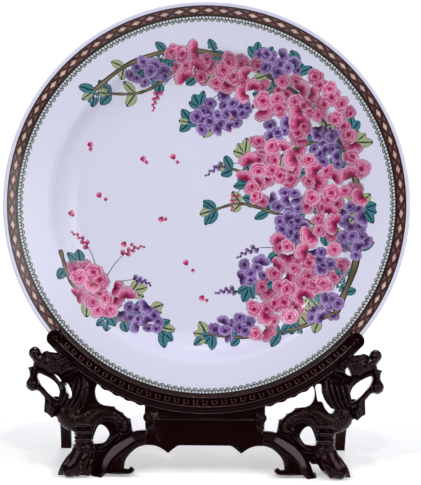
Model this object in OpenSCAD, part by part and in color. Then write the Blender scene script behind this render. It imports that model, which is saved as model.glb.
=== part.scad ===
// Large porcelain display plate on a carved folding stand with two dragon wings.
// Millimetres, +Z up, the plate faces -Y, and the floor is at z = 0.
// The front frame is drawn upright in its own axes (x, y back, h up) and then leaned back as one.
// Left is the viewer's left, at -x.

/* [Plate] */
// Outer diameter
plate_d = 350; // [340:1:356]
// From the rim's front edge back to the foot ring's resting face
plate_depth = 36; // [34:1:42]
// Thickness at the rim
rim_t = 3.5; // [3:0.1:4]
// Diameter where the flange breaks into the well
well_d = 272; // [262:1:280]
// Depth of the well's floor below the rim
well_depth = 24; // [21:1:27]
// Wall thickness of the well
wall_t = 5.5; // [5:0.5:6.5]
// Outer diameter of the foot ring
foot_d = 200; // [190:1:206]
// Width of the foot ring's resting face
foot_w = 4; // [3:0.5:6]

/* [Stand] */
// Lean of the plate and the front frame from upright, in degrees
lean = 12; // [10:0.5:14]
// Height of the plate's lowest point along the frame
seat_h = 56; // [54:0.5:60]
// Back plane of the front frame, behind the plate's rim plane
frame_back = 14; // [12:0.5:16]
// How far the rail's lip covers the rim
lip_cover = 10.5; // [8:0.5:12]
// Thickness of the lip in front of the groove
lip_t = 6; // [4:0.5:7]
// Rail wood outside the groove
rail_wall = 5.2; // [4.5:0.1:6]
// Half of the arc that the rail spans, in degrees
rail_half_angle = 49; // [47:0.5:50]
// Radius of the scroll on each end of the rail
scroll_r = 7; // [6:0.1:7.6]
// Number of fret keys on the rail
key_count = 33; // [25:1:40]

/* [Legs] */
// Height of the frame's own zero above the floor, which the feet are cut to
frame_rise = 1.4; // [1:0.1:2]
// Half of the apron board's width
apron_half = 50; // [49:0.5:50.5]
// Height of the apron's lower edge along the frame
apron_h = 24.5; // [23:0.5:26]
// Inner face of each rear leg, from the middle
rear_leg_x = 117.5; // [117:0.1:118.5]
// Thickness of a rear leg
rear_leg_t = 9; // [8:0.1:9.5]
// Depth of a rear leg at its hinge
rear_leg_w = 13; // [11:0.5:13]
// Distance from the hinge back to the middle of the rear foot
rear_spread = 60; // [50:1:75]
// Height of the hinge pin along the frame
hinge_h = 56; // [54:0.5:58]
// Radius of the hinge pin
pin_r = 2; // [1.5:0.1:2.5]
// Thickness of each cheek of the hinge block
cheek_t = 3.5; // [3:0.1:4]

/* [Back] */
// Inner face of each upright, from the middle
upright_x = 103.5; // [102:0.5:103.5]
// Thickness of an upright
upright_t = 9; // [8:0.5:9]
// Height of the top of the uprights along the frame
upright_top = 250; // [242:1:280]
// Middle of the upper cross rail along the frame
upper_rail_h = 231; // [226:1:233]
// Middle of the lower cross rail along the frame
lower_rail_h = 158; // [156:1:162]
// Height of a cross rail's face
cross_rail_w = 15; // [12:1:16]
// Thickness of a cross rail
cross_rail_t = 10; // [8:0.5:10]
// Diameter of a dowel
dowel_d = 6; // [4:0.5:7]
// How far a dowel runs into the cross rail
dowel_in = 14; // [8:1:20]

/* [Clearances] */
// Between the plate and what it rests on
seat_gap = 0.3; // [0.2:0.05:0.5]
// In front of and behind the rim in the groove
groove_gap = 0.4; // [0.3:0.05:0.8]
// Between a rear leg and each cheek
side_gap = 0.3; // [0.2:0.05:0.4]
// Radial running clearance of the hinge pin
pin_gap = 0.05; // [0.02:0.01:0.1]
// Between a leg's heel and its stop when open
stop_gap = 0.1; // [0.05:0.05:0.2]
// Glue line between two carved pieces
joint_gap = 0.2; // [0.1:0.05:0.3]

/* [Hidden] */
$fn = 48;

ROSEWOOD = [0.16, 0.07, 0.06];
REDWOOD = [0.30, 0.11, 0.07];
BRASS = [0.78, 0.62, 0.30];
STEEL = [0.60, 0.60, 0.62];
PORCELAIN = [0.90, 0.89, 0.93];

plate_r = plate_d / 2;
well_r = well_d / 2;
plate_h = seat_h + plate_r;
foot_r = foot_d / 2;
foot_lean_in = 1.4;
far = 400;

// Rail, in (r, d): r from the plate's axis and d forward of the rim plane
seat_r = plate_r + seat_gap;
rail_r = seat_r + rail_wall;
lip_r = plate_r - lip_cover;
lip_front = groove_gap + lip_t;
rim_back = rim_t + 1.7;
back_lip_r = seat_r - 3.8;
groove_back = rim_back + groove_gap;
scroll_at = seat_r - 1.8;

// Hinge, in (y, h) of the frame
leg_half = rear_leg_w / 2;
web_t = 3.2;
heel_reach = leg_half + side_gap;
hinge_y = frame_back + web_t + heel_reach;
cheek_r = leg_half + 2;
pin_reach = 1.2;
pin_head_r = pin_r + 1.2;
block_in = rear_leg_x - side_gap - cheek_t;
block_out = rear_leg_x + rear_leg_t + side_gap + cheek_t;

// Back frame
cross_front = plate_depth + seat_gap;
cross_back = cross_front + cross_rail_t;
upright_out = upright_x + upright_t;
upright_w = 13;
dowel_r = dowel_d / 2;

// Screws
screw_r = 1.75;
screw_head_r = 3.4;
screw_head_h = 2.4;
upright_screw_x = upright_x + upright_t / 2;
upright_screw_reach = 13;
// The uprights and their screws stop short of the rail's underside, which curves with the plate
rail_under_h = plate_h - sqrt(rail_r * rail_r - upright_screw_x * upright_screw_x);
upright_screw_h = [rail_under_h - 13.4, rail_under_h - 4.4];
upright_foot_h = rail_under_h - 18.9;
hinge_screw_h = [hinge_h - 3.2, hinge_h + 4];
hinge_screw_r = 1.3;
hinge_screw_head_r = 2.5;
hinge_screw_head_h = 1.4;
hinge_screw_reach = 12;

// The frame's own axes put the hinge here in the part's axes
pin_y = hinge_y * cos(lean) + hinge_h * sin(lean);
pin_z = hinge_h * cos(lean) - hinge_y * sin(lean) + frame_rise;
rear_foot_w = 17;

// The second claw reaches furthest forward, and the top of the foot ring furthest back
claw_r = 4;
claw_y = 13;
claw_h = 4;
claw_sides = 10;
front_reach = claw_h * sin(lean) - (claw_y + claw_r * cos(180 / claw_sides)) * cos(lean);
rear_reach = (plate_h + foot_r - foot_lean_in) * sin(lean) + plate_depth * cos(lean);
middle_y = (front_reach + rear_reach) / 2;

function mixed(a, b, t) = a + (b - a) * t;

// A point at t of 0 to 1 between b and c, on the smooth curve through a, b, c and d
function curve_point(a, b, c, d, t) =
    0.5 * (2 * b + (c - a) * t + (2 * a - 5 * b + 4 * c - d) * t * t + (3 * b - a - 3 * c + d) * t * t * t);

// A smooth open curve through the points p, with n steps between neighbours
function curve(p, n = 4) = [
    for (i = [0 : len(p) - 2], j = [0 : n - 1])
        curve_point(p[max(i - 1, 0)], p[i], p[i + 1], p[min(i + 2, len(p) - 1)], j / n),
    p[len(p) - 1]
];

// A smooth closed curve through the points p
function ring(p, n = 4) = [
    for (i = [0 : len(p) - 1], j = [0 : n - 1])
        curve_point(p[(i + len(p) - 1) % len(p)], p[i], p[(i + 1) % len(p)], p[(i + 2) % len(p)], j / n)
];

// The same points from last to first
function reversed(p) = [for (i = [len(p) - 1 : -1 : 0]) p[i]];

// Points on a circle about c, from angle a to angle b
function arc(c, r, a, b, n = 6) = [
    for (i = [0 : n]) let(f = mixed(a, b, i / n)) c + r * [cos(f), sin(f)]
];

// From the frame's axes to the part's axes
module leaned() {
    translate([0, -middle_y, frame_rise]) rotate([-lean, 0, 0]) children();
}

// A 2D outline in (x, h) as a board from y0 in front to y1 behind
module board(y0, y1) {
    translate([0, y1, 0]) rotate([90, 0, 0]) linear_extrude(y1 - y0) children();
}

// A 2D outline in (y, h) as a board from x0 to x1
module side_board(x0, x1) {
    translate([x0, 0, 0]) rotate([90, 0, 90]) linear_extrude(x1 - x0) children();
}

// Stands a shape that is turned about Z up on the plate's axis, its +Z forward
module on_plate_axis() {
    translate([0, 0, plate_h]) rotate([90, 0, 0]) children();
}

module both_sides() {
    children();
    mirror([1, 0, 0]) children();
}

module on_side(side) {
    mirror([side < 0 ? 1 : 0, 0, 0]) children();
}

// Everything under the floor
module under_floor() {
    translate([-far, -far, -far]) cube([2 * far, 2 * far, far]);
}

/* ---- Plate ---- */

// Front of the plate from the middle to the rim, in (r, d)
function plate_front() = concat(
    [[0, -well_depth], [well_r - 26, -well_depth]],
    curve([[well_r - 22, -well_depth + 0.3], [well_r - 11, -well_depth + 4.5], [well_r - 3, -10.5],
        [well_r, -8.6]], 5),
    curve([[well_r + 1.5, -8], [mixed(well_r, plate_r, 0.5), -4.4], [plate_r - 4, -0.7],
        [plate_r - 1.8, 0]], 4));

// Back of the plate from the rim to the middle
function plate_back() = concat(
    curve([[plate_r - 2.5, -rim_t], [mixed(well_r, plate_r, 0.45), -rim_t - 6.2], [well_r + 1, -15],
        [well_r - 9, -22.5], [well_r - 19, -well_depth - wall_t + 0.8],
        [mixed(foot_r, well_r, 0.35), -well_depth - wall_t]], 5),
    [[foot_r, -well_depth - wall_t - 0.4], [foot_r - foot_lean_in, -plate_depth],
        [foot_r - foot_lean_in - foot_w, -plate_depth],
        [foot_r - 3.2 - foot_w, -well_depth - wall_t - 0.4], [foot_r - 12, -well_depth - wall_t],
        [0, -well_depth - wall_t]]);

module plate() {
    rim = arc([plate_r - rim_t / 2, -rim_t / 2], rim_t / 2, 80, -80, 6);
    color(PORCELAIN) leaned() on_plate_axis() rotate_extrude()
        polygon(concat(plate_front(), rim, plate_back()));
}

/* ---- Front rail ---- */

// The bead between the fret band and the plain band
bead_r = 1.2;
fret_in = lip_r + 2.2;
fret_out = seat_r - 3;
fret_deep = 1.2;
plain_front = lip_front - 1.9;

function rail_section() = concat(
    [[lip_r, groove_gap - 1]],
    arc([lip_r + 1.4, lip_front - 1.4], 1.4, 180, 90, 4),
    [[fret_in, lip_front], [fret_in, lip_front - fret_deep], [fret_out, lip_front - fret_deep]],
    arc([fret_out + bead_r, lip_front - fret_deep], bead_r * 1.3, 165, 15, 6),
    [[fret_out + 2 * bead_r + 0.6, plain_front]],
    arc([rail_r - 2, plain_front - 2], 2, 90, 0, 4),
    [[rail_r, -frame_back], [back_lip_r - 2, -frame_back], [back_lip_r - 2, groove_gap - 1]]);

// Sweeps a section in (r, d) about the plate's axis, to half an angle a on each side of the bottom
module rail_sweep(a) {
    on_plate_axis() rotate([0, 0, -90 - a]) rotate_extrude(angle = 2 * a, $fn = 180) children();
}

// The space that the rim and the back of the plate take in the rail
module groove() {
    rail_sweep(rail_half_angle + 8) polygon([
        [lip_r - 20, groove_gap], [seat_r, groove_gap], [seat_r, -groove_back], [back_lip_r, -groove_back],
        [back_lip_r, -frame_back - 5], [lip_r - 20, -frame_back - 5]
    ]);
}

// Scroll on the end of the rail: a roll with a turned button in front
module rail_scroll() {
    on_plate_axis() rotate([0, 0, rail_half_angle - 91]) translate([scroll_at, 0, 0]) rotate_extrude()
        polygon(concat(
            [[0, 1 - frame_back], [scroll_r, 1 - frame_back]],
            arc([scroll_r - 1.6, lip_front - 1], 1.6, 0, 90, 4),
            [[4.4, lip_front + 0.6], [3.8, lip_front - 0.6], [3.2, lip_front - 0.6]],
            arc([0, lip_front - 2.4], 3.8, 40, 90, 4)));
}

// Cusped lobes under the plain band, in the open between the apron and the wing
lobe_from = 16.5;
lobe_step = 3.45;
lobe_deep = 1.9;

function lobe(n) = [
    for (i = [1 : 5]) let(a = lobe_from + (n + i / 6) * lobe_step)
        (rail_r - 0.6 + lobe_deep * sin(i * 30)) * [sin(a), -cos(a)]
];

module rail_lobes() {
    a0 = lobe_from;
    a1 = lobe_from + 4 * lobe_step;
    inside = rail_r - 3;
    translate([0, 0, plate_h]) board(3 - plain_front, frame_back - 1.5) polygon(concat(
        [(rail_r - 0.6) * [sin(a0), -cos(a0)]], lobe(0), lobe(1), lobe(2), lobe(3),
        [(rail_r - 0.6) * [sin(a1), -cos(a1)], inside * [sin(a1), -cos(a1)],
            inside * [sin((a0 + a1) / 2), -cos((a0 + a1) / 2)], inside * [sin(a0), -cos(a0)]]));
}

// One key of the fret: a hooked line as wide as the band
module fret_key() {
    key = fret_out - fret_in - 1.4;
    line = key / 6;
    on_plate_axis() translate([0, 0, lip_front - fret_deep - 0.2]) linear_extrude(fret_deep)
        translate([fret_in + 0.5, -key / 2]) {
            square([key, line]);
            translate([key - line, 0]) square([line, key * 0.86]);
            translate([key * 0.34, key * 0.86 - line]) square([key * 0.66, line]);
            translate([key * 0.34, key * 0.4]) square([line, key * 0.46]);
        }
}

module front_rail() {
    key_step = 2 * (rail_half_angle - 5) / (key_count - 1);
    color(ROSEWOOD) leaned() {
        difference() {
            union() {
                rail_sweep(rail_half_angle) polygon(rail_section());
                both_sides() rail_scroll();
                both_sides() rail_lobes();
            }
            groove();
        }
        for (i = [0 : key_count - 1])
            translate([0, 0, plate_h]) rotate([0, 90 - (i - (key_count - 1) / 2) * key_step, 0])
                translate([0, 0, -plate_h]) fret_key();
    }
}

/* ---- Apron panel ---- */

frieze_top = 47;
frieze_front = 5.5;
cusp_x = 31;
cusp_drop = 6.5;

// Lower edge from the middle to the end: flat, a cusp, then an arch that runs into the leg
function apron_edge() = concat(
    [[0, apron_h], [cusp_x - 10, apron_h]],
    curve([[cusp_x - 8, apron_h - 0.3], [cusp_x - 4, apron_h - 3.2], [cusp_x, apron_h - cusp_drop]], 4),
    curve([[cusp_x + 0.8, apron_h - cusp_drop + 0.3], [cusp_x + 6, apron_h - 2.6],
        [cusp_x + 12, apron_h - 0.3], [apron_half, apron_h]], 3));

module apron_half_outline(top) {
    polygon(concat(apron_edge(), [[apron_half, top], [0, top]]));
}

// Carved knob on each end of the panel: a scroll with a tail of two leaves
module knob() {
    translate([apron_half - 1.8, 0, frieze_top + 1.2]) rotate([90, 0, 0]) translate([0, 0, -frame_back])
        rotate_extrude() polygon(concat(
            [[0, 0], [4.6, 0]],
            arc([3.4, frame_back + 5.4], 1.2, 0, 90, 3),
            [[3, frame_back + 6], [2.5, frame_back + 5.4]],
            arc([0, frame_back + 3.8], 3, 32, 90, 3)));
    board(-6, frame_back) polygon(ring([[43.6, 51.6], [47, 52.6], [50.8, 50], [51, 43.5], [50.4, 39.5],
        [46, 38.2], [43, 42], [43.8, 46]], 3));
    board(-7.4, frame_back - 4)
        polygon(ring([[43, 44.5], [46.5, 44], [50, 40.8], [51, 38], [47.5, 39.5], [44, 41.5]], 3));
}

module apron_panel() {
    fascia_top = plate_h - sqrt(rail_r * rail_r - apron_half * apron_half) + 4;
    color(ROSEWOOD) leaned() difference() {
        union() {
            both_sides() {
                board(-frieze_front, frame_back) apron_half_outline(frieze_top);
                board(-2.5, frame_back) translate([0, frieze_top - 1])
                    square([apron_half + 1.5, fascia_top - frieze_top]);
                // Bead along the lower edge, and the ledge over the frieze
                board(-frieze_front - 1.2, 0) difference() {
                    apron_half_outline(frieze_top);
                    translate([0, 2.2]) apron_half_outline(frieze_top);
                }
                knob();
            }
            translate([0, -frieze_front + 0.4, frieze_top]) rotate([0, 90, 0])
                cylinder(r = 1.3, h = 2 * (apron_half - 8), center = true);
        }
        on_plate_axis() translate([0, 0, -2 * frame_back])
            cylinder(r = rail_r, h = 4 * frame_back, $fn = 360);
    }
}

/* ---- Front legs ---- */

// Edges of the leg in (x, h): the inner one is the arch, the outer one the knee
function leg_inner(n) = curve([[apron_half + 0.1, apron_h], [57, apron_h - 2.2], [63, apron_h - 7], [67, 12],
    [68.6, 5], [69, -6]], n);
function leg_outer(n) = curve([[apron_half + 0.1, leg_top_h], [60, 36], [70, 30.6], [80, 23.4], [89, 12.8],
    [96, -6]], n);
leg_steps = 3;
leg_top_h = 37;

// Section across the leg: s runs from the inner edge (0) to the outer edge (w)
module leg_section(a, b) {
    w = norm(b - a);
    turn = atan2(b[1] - a[1], b[0] - a[0]);
    bevel = min(8, w * 0.42);
    translate([a[0], 0, a[1]]) rotate([0, -turn, 0]) linear_extrude(0.02) polygon([
        [0, frame_back], [0, -4.5], [1.2, -6.6], [3.2, -7.6], [w - bevel, -8.4], [w - bevel * 0.55, -6.6],
        [w - 0.6, -0.8], [w, 2], [w, frame_back]
    ]);
}

module front_leg(side) {
    a = leg_inner(leg_steps);
    b = leg_outer(leg_steps);
    toe = [[75, 2.6, 3.6], [68, 1.6, 2.7], [64, 2.0, 2.5], [61.6, 3.2, 2.7]];
    color(ROSEWOOD) difference() {
        leaned() on_side(side) {
            for (i = [0 : len(a) - 2]) hull() {
                leg_section(a[i], b[i]);
                leg_section(a[i + 1], b[i + 1]);
            }
            for (i = [0 : len(toe) - 2]) hull() for (p = [toe[i], toe[i + 1]])
                translate([p[0], 0, p[1]]) rotate([90, 0, 0]) {
                    cylinder(r = p[2], h = 2 * (frame_back - 5), center = true, $fn = 16);
                    cylinder(r = p[2] - 1, h = 2 * (frame_back - 4), center = true, $fn = 16);
                }
        }
        under_floor();
        // The sole is raised between the toe and the heel pad
        leaned() on_side(side) translate([57, -frame_back - 5, -10]) cube([31, 3 * frame_back, 11.2]);
    }
}

/* ---- Dragons ---- */

// Outline of the wing in (x, h), from the rail's end round the head, down to the claw and back by the leg.
// It runs under the rail and under the leg, and is cut back to them.
function wing_outline(side) = concat(
    [[90, 76.5], [118, 106]],
    curve([[122, 99.8], [126, 100.8], [131, 101], [135, 104], [138, 103.2], [141, 100.5]], 2),
    arc([146, 102], 5.3, 165, -35, 7),
    curve([[147.2, 94.6], [145.6, 92], [147.4, 90], [151.4, 89.2]], 2),
    curve([[150.4, 86.2], [150.2, 82.6]], 1),
    arc([147.6, 75.4], 5.7, 50, -110, 6),
    curve([[142, 70], [139, 68], [137.6, 64.5], [137, 58], [137.8, 52]], 2),
    curve([[134.4, 50.2], [131, 46.6]], 1),
    curve([[127.5, 48.4], [124, 47.5], [118.5, 43.5], [113.5, 38.4], [111.2, 34]], 2),
    curve([[110.8, 22.5], [114.4, 18], [118, 13.6], [121.4, 8.4], [124.2, 2.4], [125, -2], [124, -8]], 2),
    side < 0 ? [[92, -8]] : curve([[112, -8], [106, -0.5], [101, 4], [97.6, 8.6], [92, 9]], 2),
    [[84, 18], [72, 25], [60, 34]],
    curve([[62, 37], [63.6, 46.8]], 2),
    curve([[66, 47.4], [68.8, 49.2], [69.8, 51.8]], 1),
    curve([[73, 52.6], [76, 54.4], [77.2, 57]], 1),
    curve([[82, 57.2], [87, 57.8], [91, 60.6], [93.4, 65], [94, 71], [92.4, 76]], 2));

// Openings of both wings: the mouth, and the one by the leg
function mouth_hole() = ring([[142.8, 84.6], [138, 83.2], [131.4, 79.6], [126.6, 75], [124.6, 70],
    [124.4, 65], [126.6, 62.2], [130.4, 64.4], [134.6, 67.8], [139.2, 73], [143.2, 80.4]], 2);
function leg_hole() = ring([[89, 41.4], [85, 39.4], [81.8, 34.6], [82.2, 29.6], [85.6, 26.4], [91, 25.2],
    [95, 25.4], [95.6, 28.4], [93.8, 34.4], [91.6, 39.4]], 2);

// Slits that are cut in one wing only: the two are carved by hand, and differ
function cheek_slit() = ring([[113.7, 64.8], [113.9, 69.4], [116, 74.4], [118.6, 76.6], [118.5, 72],
    [117.2, 68], [115.6, 64.6]], 2);
function jaw_slit() = ring([[129.4, 84.4], [126, 82.6], [122.8, 78.6], [124.4, 78.2], [127, 81.4]], 2);
function neck_slit() = ring([[94.6, 76.4], [99.6, 77.2], [100.4, 70.4], [103.8, 62.6], [107.6, 57.8],
    [110.6, 56], [108.6, 52.4], [105.8, 52.8], [102.8, 57], [100.4, 62.4], [96.8, 63], [95.4, 69.5]], 2);
function brow_slit() = ring([[121.6, 92.2], [124.8, 85.4], [121.4, 86.2], [119.6, 88.4]], 2);
function slits(side) = side < 0 ? [cheek_slit(), jaw_slit()] : [neck_slit(), brow_slit()];

// A strand of carving: a flat tube through p, whose rows are [x, h, half width, half depth, y]
module strand(p, n = 2, sides = 8) {
    q = curve(p, n);
    m = len(q);
    rings = [
        for (i = [0 : m - 1])
            let(
                a = q[max(i - 1, 0)],
                b = q[min(i + 1, m - 1)],
                t = [b[0] - a[0], b[1] - a[1]] / norm([b[0] - a[0], b[1] - a[1]])
            )
            for (k = [0 : sides - 1])
                let(f = 360 * (k + 0.5) / sides, s = q[i][2] * cos(f))
                [q[i][0] - t[1] * s, q[i][4] - q[i][3] * sin(f), q[i][1] + t[0] * s]
    ];
    walls = [
        for (i = [0 : m - 2], k = [0 : sides - 1])
            let(j = (k + 1) % sides)
            [i * sides + k, (i + 1) * sides + k, (i + 1) * sides + j, i * sides + j]
    ];
    first = [for (k = [0 : sides - 1]) k];
    last = [for (k = [sides - 1 : -1 : 0]) (m - 1) * sides + k];
    polyhedron(rings, concat(walls, [first, last]), convexity = 6);
}

// A claw or a bead chain: spheres at rows of [x, h, y, r], hulled one to the next
module chain(p, fn = claw_sides) {
    for (i = [0 : len(p) - 2]) hull() for (q = [p[i], p[i + 1]])
        translate([q[0], q[2], q[1]]) sphere(r = q[3], $fn = fn);
}

module curl(x, h, r, y, deep) {
    translate([x, y, h]) scale([1, deep / r, 1]) sphere(r = r, $fn = 16);
}

// Head in profile, looking outward: skull and snout, brow curl, fang, pearl, jaw, eye and horn
module dragon_head() {
    strand([[113, 90, 5, 5, 2], [122, 91.5, 9.4, 10, 1], [130, 92.6, 10.4, 11, 0], [137, 93.2, 9, 9.5, 0],
        [142.6, 91.4, 5.4, 7, 0.5], [146.6, 88.4, 2.4, 4, 1]]);
    strand([[136, 97.5, 3.4, 6, -3], [141, 95.6, 4, 7, -3], [144.6, 98, 3.6, 7, -2],
        [146.4, 102, 4.4, 7, -1.5]]);
    curl(146, 102, 5.4, -1, 8);
    strand([[124, 99, 2.4, 3, -7], [130, 99.8, 3.2, 4.4, -8], [136, 101.8, 2.2, 3.4, -7],
        [139, 102, 0.8, 2, -5]]);
    strand([[118, 99.5, 2.6, 4, -2], [122, 96.5, 2.8, 4.4, -6], [128, 95, 2.4, 3.4, -9],
        [133, 96, 1, 2, -9]]);
    curl(132.2, 92.6, 2.6, -9.4, 2.6);
    curl(144.6, 92.4, 2.5, -4.6, 3);
    strand([[145.8, 89.4, 2.6, 5, 0], [147.2, 86, 3, 5, 0], [147.8, 80.6, 2.6, 5, 0],
        [147.6, 76, 3.6, 5, 0]]);
    strand([[147, 89, 2, 3, -2], [151.6, 89.2, 0.5, 1.5, -2]], 1, 6);
    curl(147.6, 75.4, 5.8, -1, 8.5);
    strand([[145, 73, 2.6, 5, 0], [140.6, 71.4, 2.6, 6, 0], [136, 66.4, 2.6, 6.5, 0],
        [130.6, 61.8, 2.6, 7, 0], [125.6, 59.4, 3, 8, 0], [121.6, 63.8, 3, 8, 0], [121, 71.6, 2.9, 8, 0],
        [123.4, 77.6, 2.4, 8, 0], [128, 82, 2, 7, 0]]);
    chain([[139, 86, -2, 1.7], [138.2, 81.4, -2.4, 0.6]], 8);
    chain([[133.6, 83.6, -2, 1.7], [133.2, 78.6, -2.4, 0.6]], 8);
}

// Beard under the jaw, swept back and down
module dragon_beard() {
    strand([[136, 67, 1.6, 4, 0], [135.6, 60.4, 1.9, 5, -1], [136.8, 52.4, 0.8, 3, 0]]);
    strand([[132.2, 63.4, 2.2, 5, 0], [132.8, 57, 2.2, 6, -2], [133.8, 51, 0.9, 3, 0]]);
    strand([[128.4, 61.6, 2.6, 6, 0], [129.6, 54.6, 2.4, 6, -2], [130.8, 47.6, 0.9, 3, 0]]);
}

// Mane: locks that leave the back of the head and follow the neck
module dragon_mane() {
    for (i = [0 : 4]) {
        s = i * 4.1;
        strand([[103.5 + s, 82 - i * 0.6, 1.8, 4, -3], [104 + s, 72 + i * 1.2, 2.2, 6, -6],
            [108.2 + s * 0.9, 61.3 + i * 1.4, 2.1, 6, -7], [115 + s * 0.6, 51.6 + i * 2, 0.8, 3, -5]], 2, 6);
    }
    strand([[107, 93, 1, 3, 0], [112, 96, 2.2, 5, -3], [119, 95, 2.4, 6, -6], [125, 91, 1, 3, -8]], 2, 6);
    strand([[106, 88, 1, 3, 0], [112, 89.6, 2.2, 5, -3], [119, 88, 2.4, 6, -6], [124, 84, 1, 3, -6]], 2, 6);
    chain([[103.6, 82, -6, 2.4], [105.4, 78, -7, 2.6]]);
}

// Body: from the neck across the shoulder into the tail scroll, and down the leg into the paw
module dragon_body() {
    strand([[106, 76, 6, 6, 3], [107.6, 68, 6.4, 7, 2], [113, 58.6, 8, 9, 1], [118, 50.6, 9, 10, 1],
        [113, 44.6, 8.6, 10, 1], [104, 45.6, 8.6, 10, 1], [96, 51, 7, 9, 1], [88, 53.6, 3.9, 7, 0],
        [80, 51.8, 3.4, 6.6, -1], [73, 47.4, 3.2, 6.6, -1], [68.4, 42, 3.4, 7, -1], [68.8, 37.6, 2.6, 6, -1],
        [73, 37.4, 1.6, 5, -2]]);
    strand([[72.8, 43, 1.4, 4, -3], [78.6, 47.6, 2.2, 5, -4], [86, 48.6, 2.4, 5.4, -4],
        [92, 45.6, 2.4, 5.4, -4], [96, 40, 2.2, 5, -3], [97.6, 33, 1.6, 4.6, -3]]);
    strand([[74, 33.6, 2.2, 5, 0], [78.6, 30.6, 3.2, 6, 0], [84, 24.6, 2.6, 6, 0], [91, 21.6, 2.6, 6, 0]]);
    strand([[103.6, 46, 8, 9, 1], [103.4, 36, 7.4, 9.4, 0], [103.6, 27, 7.4, 10, -1],
        [103.6, 19, 9.4, 11, -2], [107, 10.6, 9.4, 12, -4], [112.6, 5, 8, 11, -5], [119, 0.6, 5, 8, -5]]);
    for (i = [0 : 3]) translate([103.5, -9.4, 41 - i * 6.4]) scale([1, 0.5, 0.42]) sphere(r = 6.6, $fn = 14);
    curl(109.6, 51, 5, -1, 6);
}

// Paw with four claws spread forward and down, and a spur behind the wrist
module dragon_paw(side) {
    chain([[112.6, 12, -10, 4.6], [117.6, 6.4, -11, 4], [122.2, -0.6, -9, 2.4]]);
    chain([[108, 10, -12.4, 4.4], [112.6, claw_h, -claw_y, claw_r], [117, -3, -12, 2.6]]);
    chain([[103, 10.6, -11, 4], [106.4, 4.4, -13, 3.8], [109.6, -3, -12, 2.4]]);
    if (side < 0)
        chain([[97.4, 12.4, -8, 3.6], [98.8, 4.6, -10, 3.6], [100, -3, -10, 2.6]]);
    chain([[99, 20.6, -6, 2.6], [94.4, 17.6, -7, 2]]);
}

module dragon(side) {
    leg_edge = leg_outer(leg_steps);
    color(ROSEWOOD) difference() {
        leaned() on_side(side) difference() {
            union() {
                board(-1.5, frame_back) difference() {
                    polygon(wing_outline(side));
                    polygon(mouth_hole());
                    polygon(leg_hole());
                }
                dragon_head();
                dragon_beard();
                dragon_mane();
                dragon_body();
                dragon_paw(side);
            }
            for (slit = slits(side)) board(-far, far) polygon(slit);
            // Flat back, and room for the rail, its scroll, the plate, the leg and the screws
            translate([0, frame_back, -far]) cube([far, far, 2 * far]);
            on_plate_axis() translate([0, 0, -far]) cylinder(r = rail_r + joint_gap, h = 2 * far, $fn = 360);
            on_plate_axis() rotate([0, 0, rail_half_angle - 91]) translate([scroll_at, 0, -far])
                cylinder(r = scroll_r + 1, h = 2 * far);
            board(-far, far) polygon(concat(
                [for (p = leg_edge) p + joint_gap * [0.8, 0.8]], [[0, -5], [0, leg_top_h + joint_gap]]));
            for (h = upright_screw_h) screw_hole(upright_screw_x, h, upright_screw_reach, screw_r);
            for (h = hinge_screw_h)
                screw_hole(rear_leg_x + rear_leg_t / 2, h, hinge_screw_reach, hinge_screw_r);
        }
        under_floor();
    }
}

// Blind hole from the frame's back plane, a little wider and deeper than the screw
module screw_hole(x, h, reach, r) {
    translate([x, frame_back + 20, h]) rotate([90, 0, 0]) cylinder(r = r + 0.2, h = reach + 20, $fn = 24);
}

/* ---- Uprights and cross rails ---- */

// Side of an upright in (y, h): flat on the frame's back, then bent back behind the well
module upright_side() {
    top = upright_top;
    polygon(concat(
        [[frame_back, upright_foot_h], [frame_back, 108]],
        curve([[frame_back, 112], [frame_back + 3, 126], [frame_back + 9.5, 141], [frame_back + 17.5, 158],
            [cross_front - 0.6, 180], [cross_front, 196]], 3),
        arc([cross_front + 5, top - 5], 5, 180, 90, 4),
        arc([cross_back - 3, top - 6], 6, 90, 0, 4),
        curve([[cross_back + 3, top - 14], [cross_back + 0.6, top - 34], [cross_back, 190],
            [cross_back - 1, 160], [frame_back + 21, 132], [frame_back + 14.5, 106],
            [frame_back + upright_w, 90]], 3),
        arc([frame_back + upright_w - 2, upright_foot_h + 2], 2, 0, -90, 3)));
}

module upright(side) {
    color(REDWOOD) leaned() on_side(side) difference() {
        side_board(upright_x, upright_out) upright_side();
        for (h = [lower_rail_h, upper_rail_h]) dowel(h, 0);
        for (h = upright_screw_h) upright_screw(h);
    }
}

module cross_rail(h) {
    color(REDWOOD) leaned() difference() {
        translate([-upright_x, cross_front, h - cross_rail_w / 2])
            cube([2 * upright_x, cross_rail_t, cross_rail_w]);
        both_sides() dowel(h, 0);
    }
}

// A dowel through the upright and into the end of the cross rail
module dowel(h, gap) {
    translate([upright_x - dowel_in, (cross_front + cross_back) / 2, h]) rotate([0, 90, 0])
        cylinder(r = dowel_r + gap, h = dowel_in + upright_t);
}

module back_rail_dowels() {
    color(REDWOOD) leaned() both_sides() for (h = [lower_rail_h, upper_rail_h]) dowel(h, 0);
}

// A countersunk screw, head at y, reaching forward by reach
module screw(x, y, h, reach, r, head_r, head_h) {
    translate([x, y, h]) rotate([90, 0, 0]) rotate_extrude(start = 0)
        polygon([[0, 0], [head_r, 0], [r, head_h], [r, reach - 2 * r], [r * 0.3, reach], [0, reach]]);
}

module upright_screw(h) {
    screw(upright_screw_x, frame_back + upright_w, h, upright_w + upright_screw_reach - 1, screw_r,
        screw_head_r, screw_head_h);
}

module upright_screws() {
    color(STEEL) leaned() both_sides() for (h = upright_screw_h) upright_screw(h);
}

/* ---- Hinges and rear legs ---- */

module hinge_screw(h) {
    screw(rear_leg_x + rear_leg_t / 2, frame_back + web_t, h, web_t + hinge_screw_reach - 1, hinge_screw_r,
        hinge_screw_head_r, hinge_screw_head_h);
}

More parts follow.
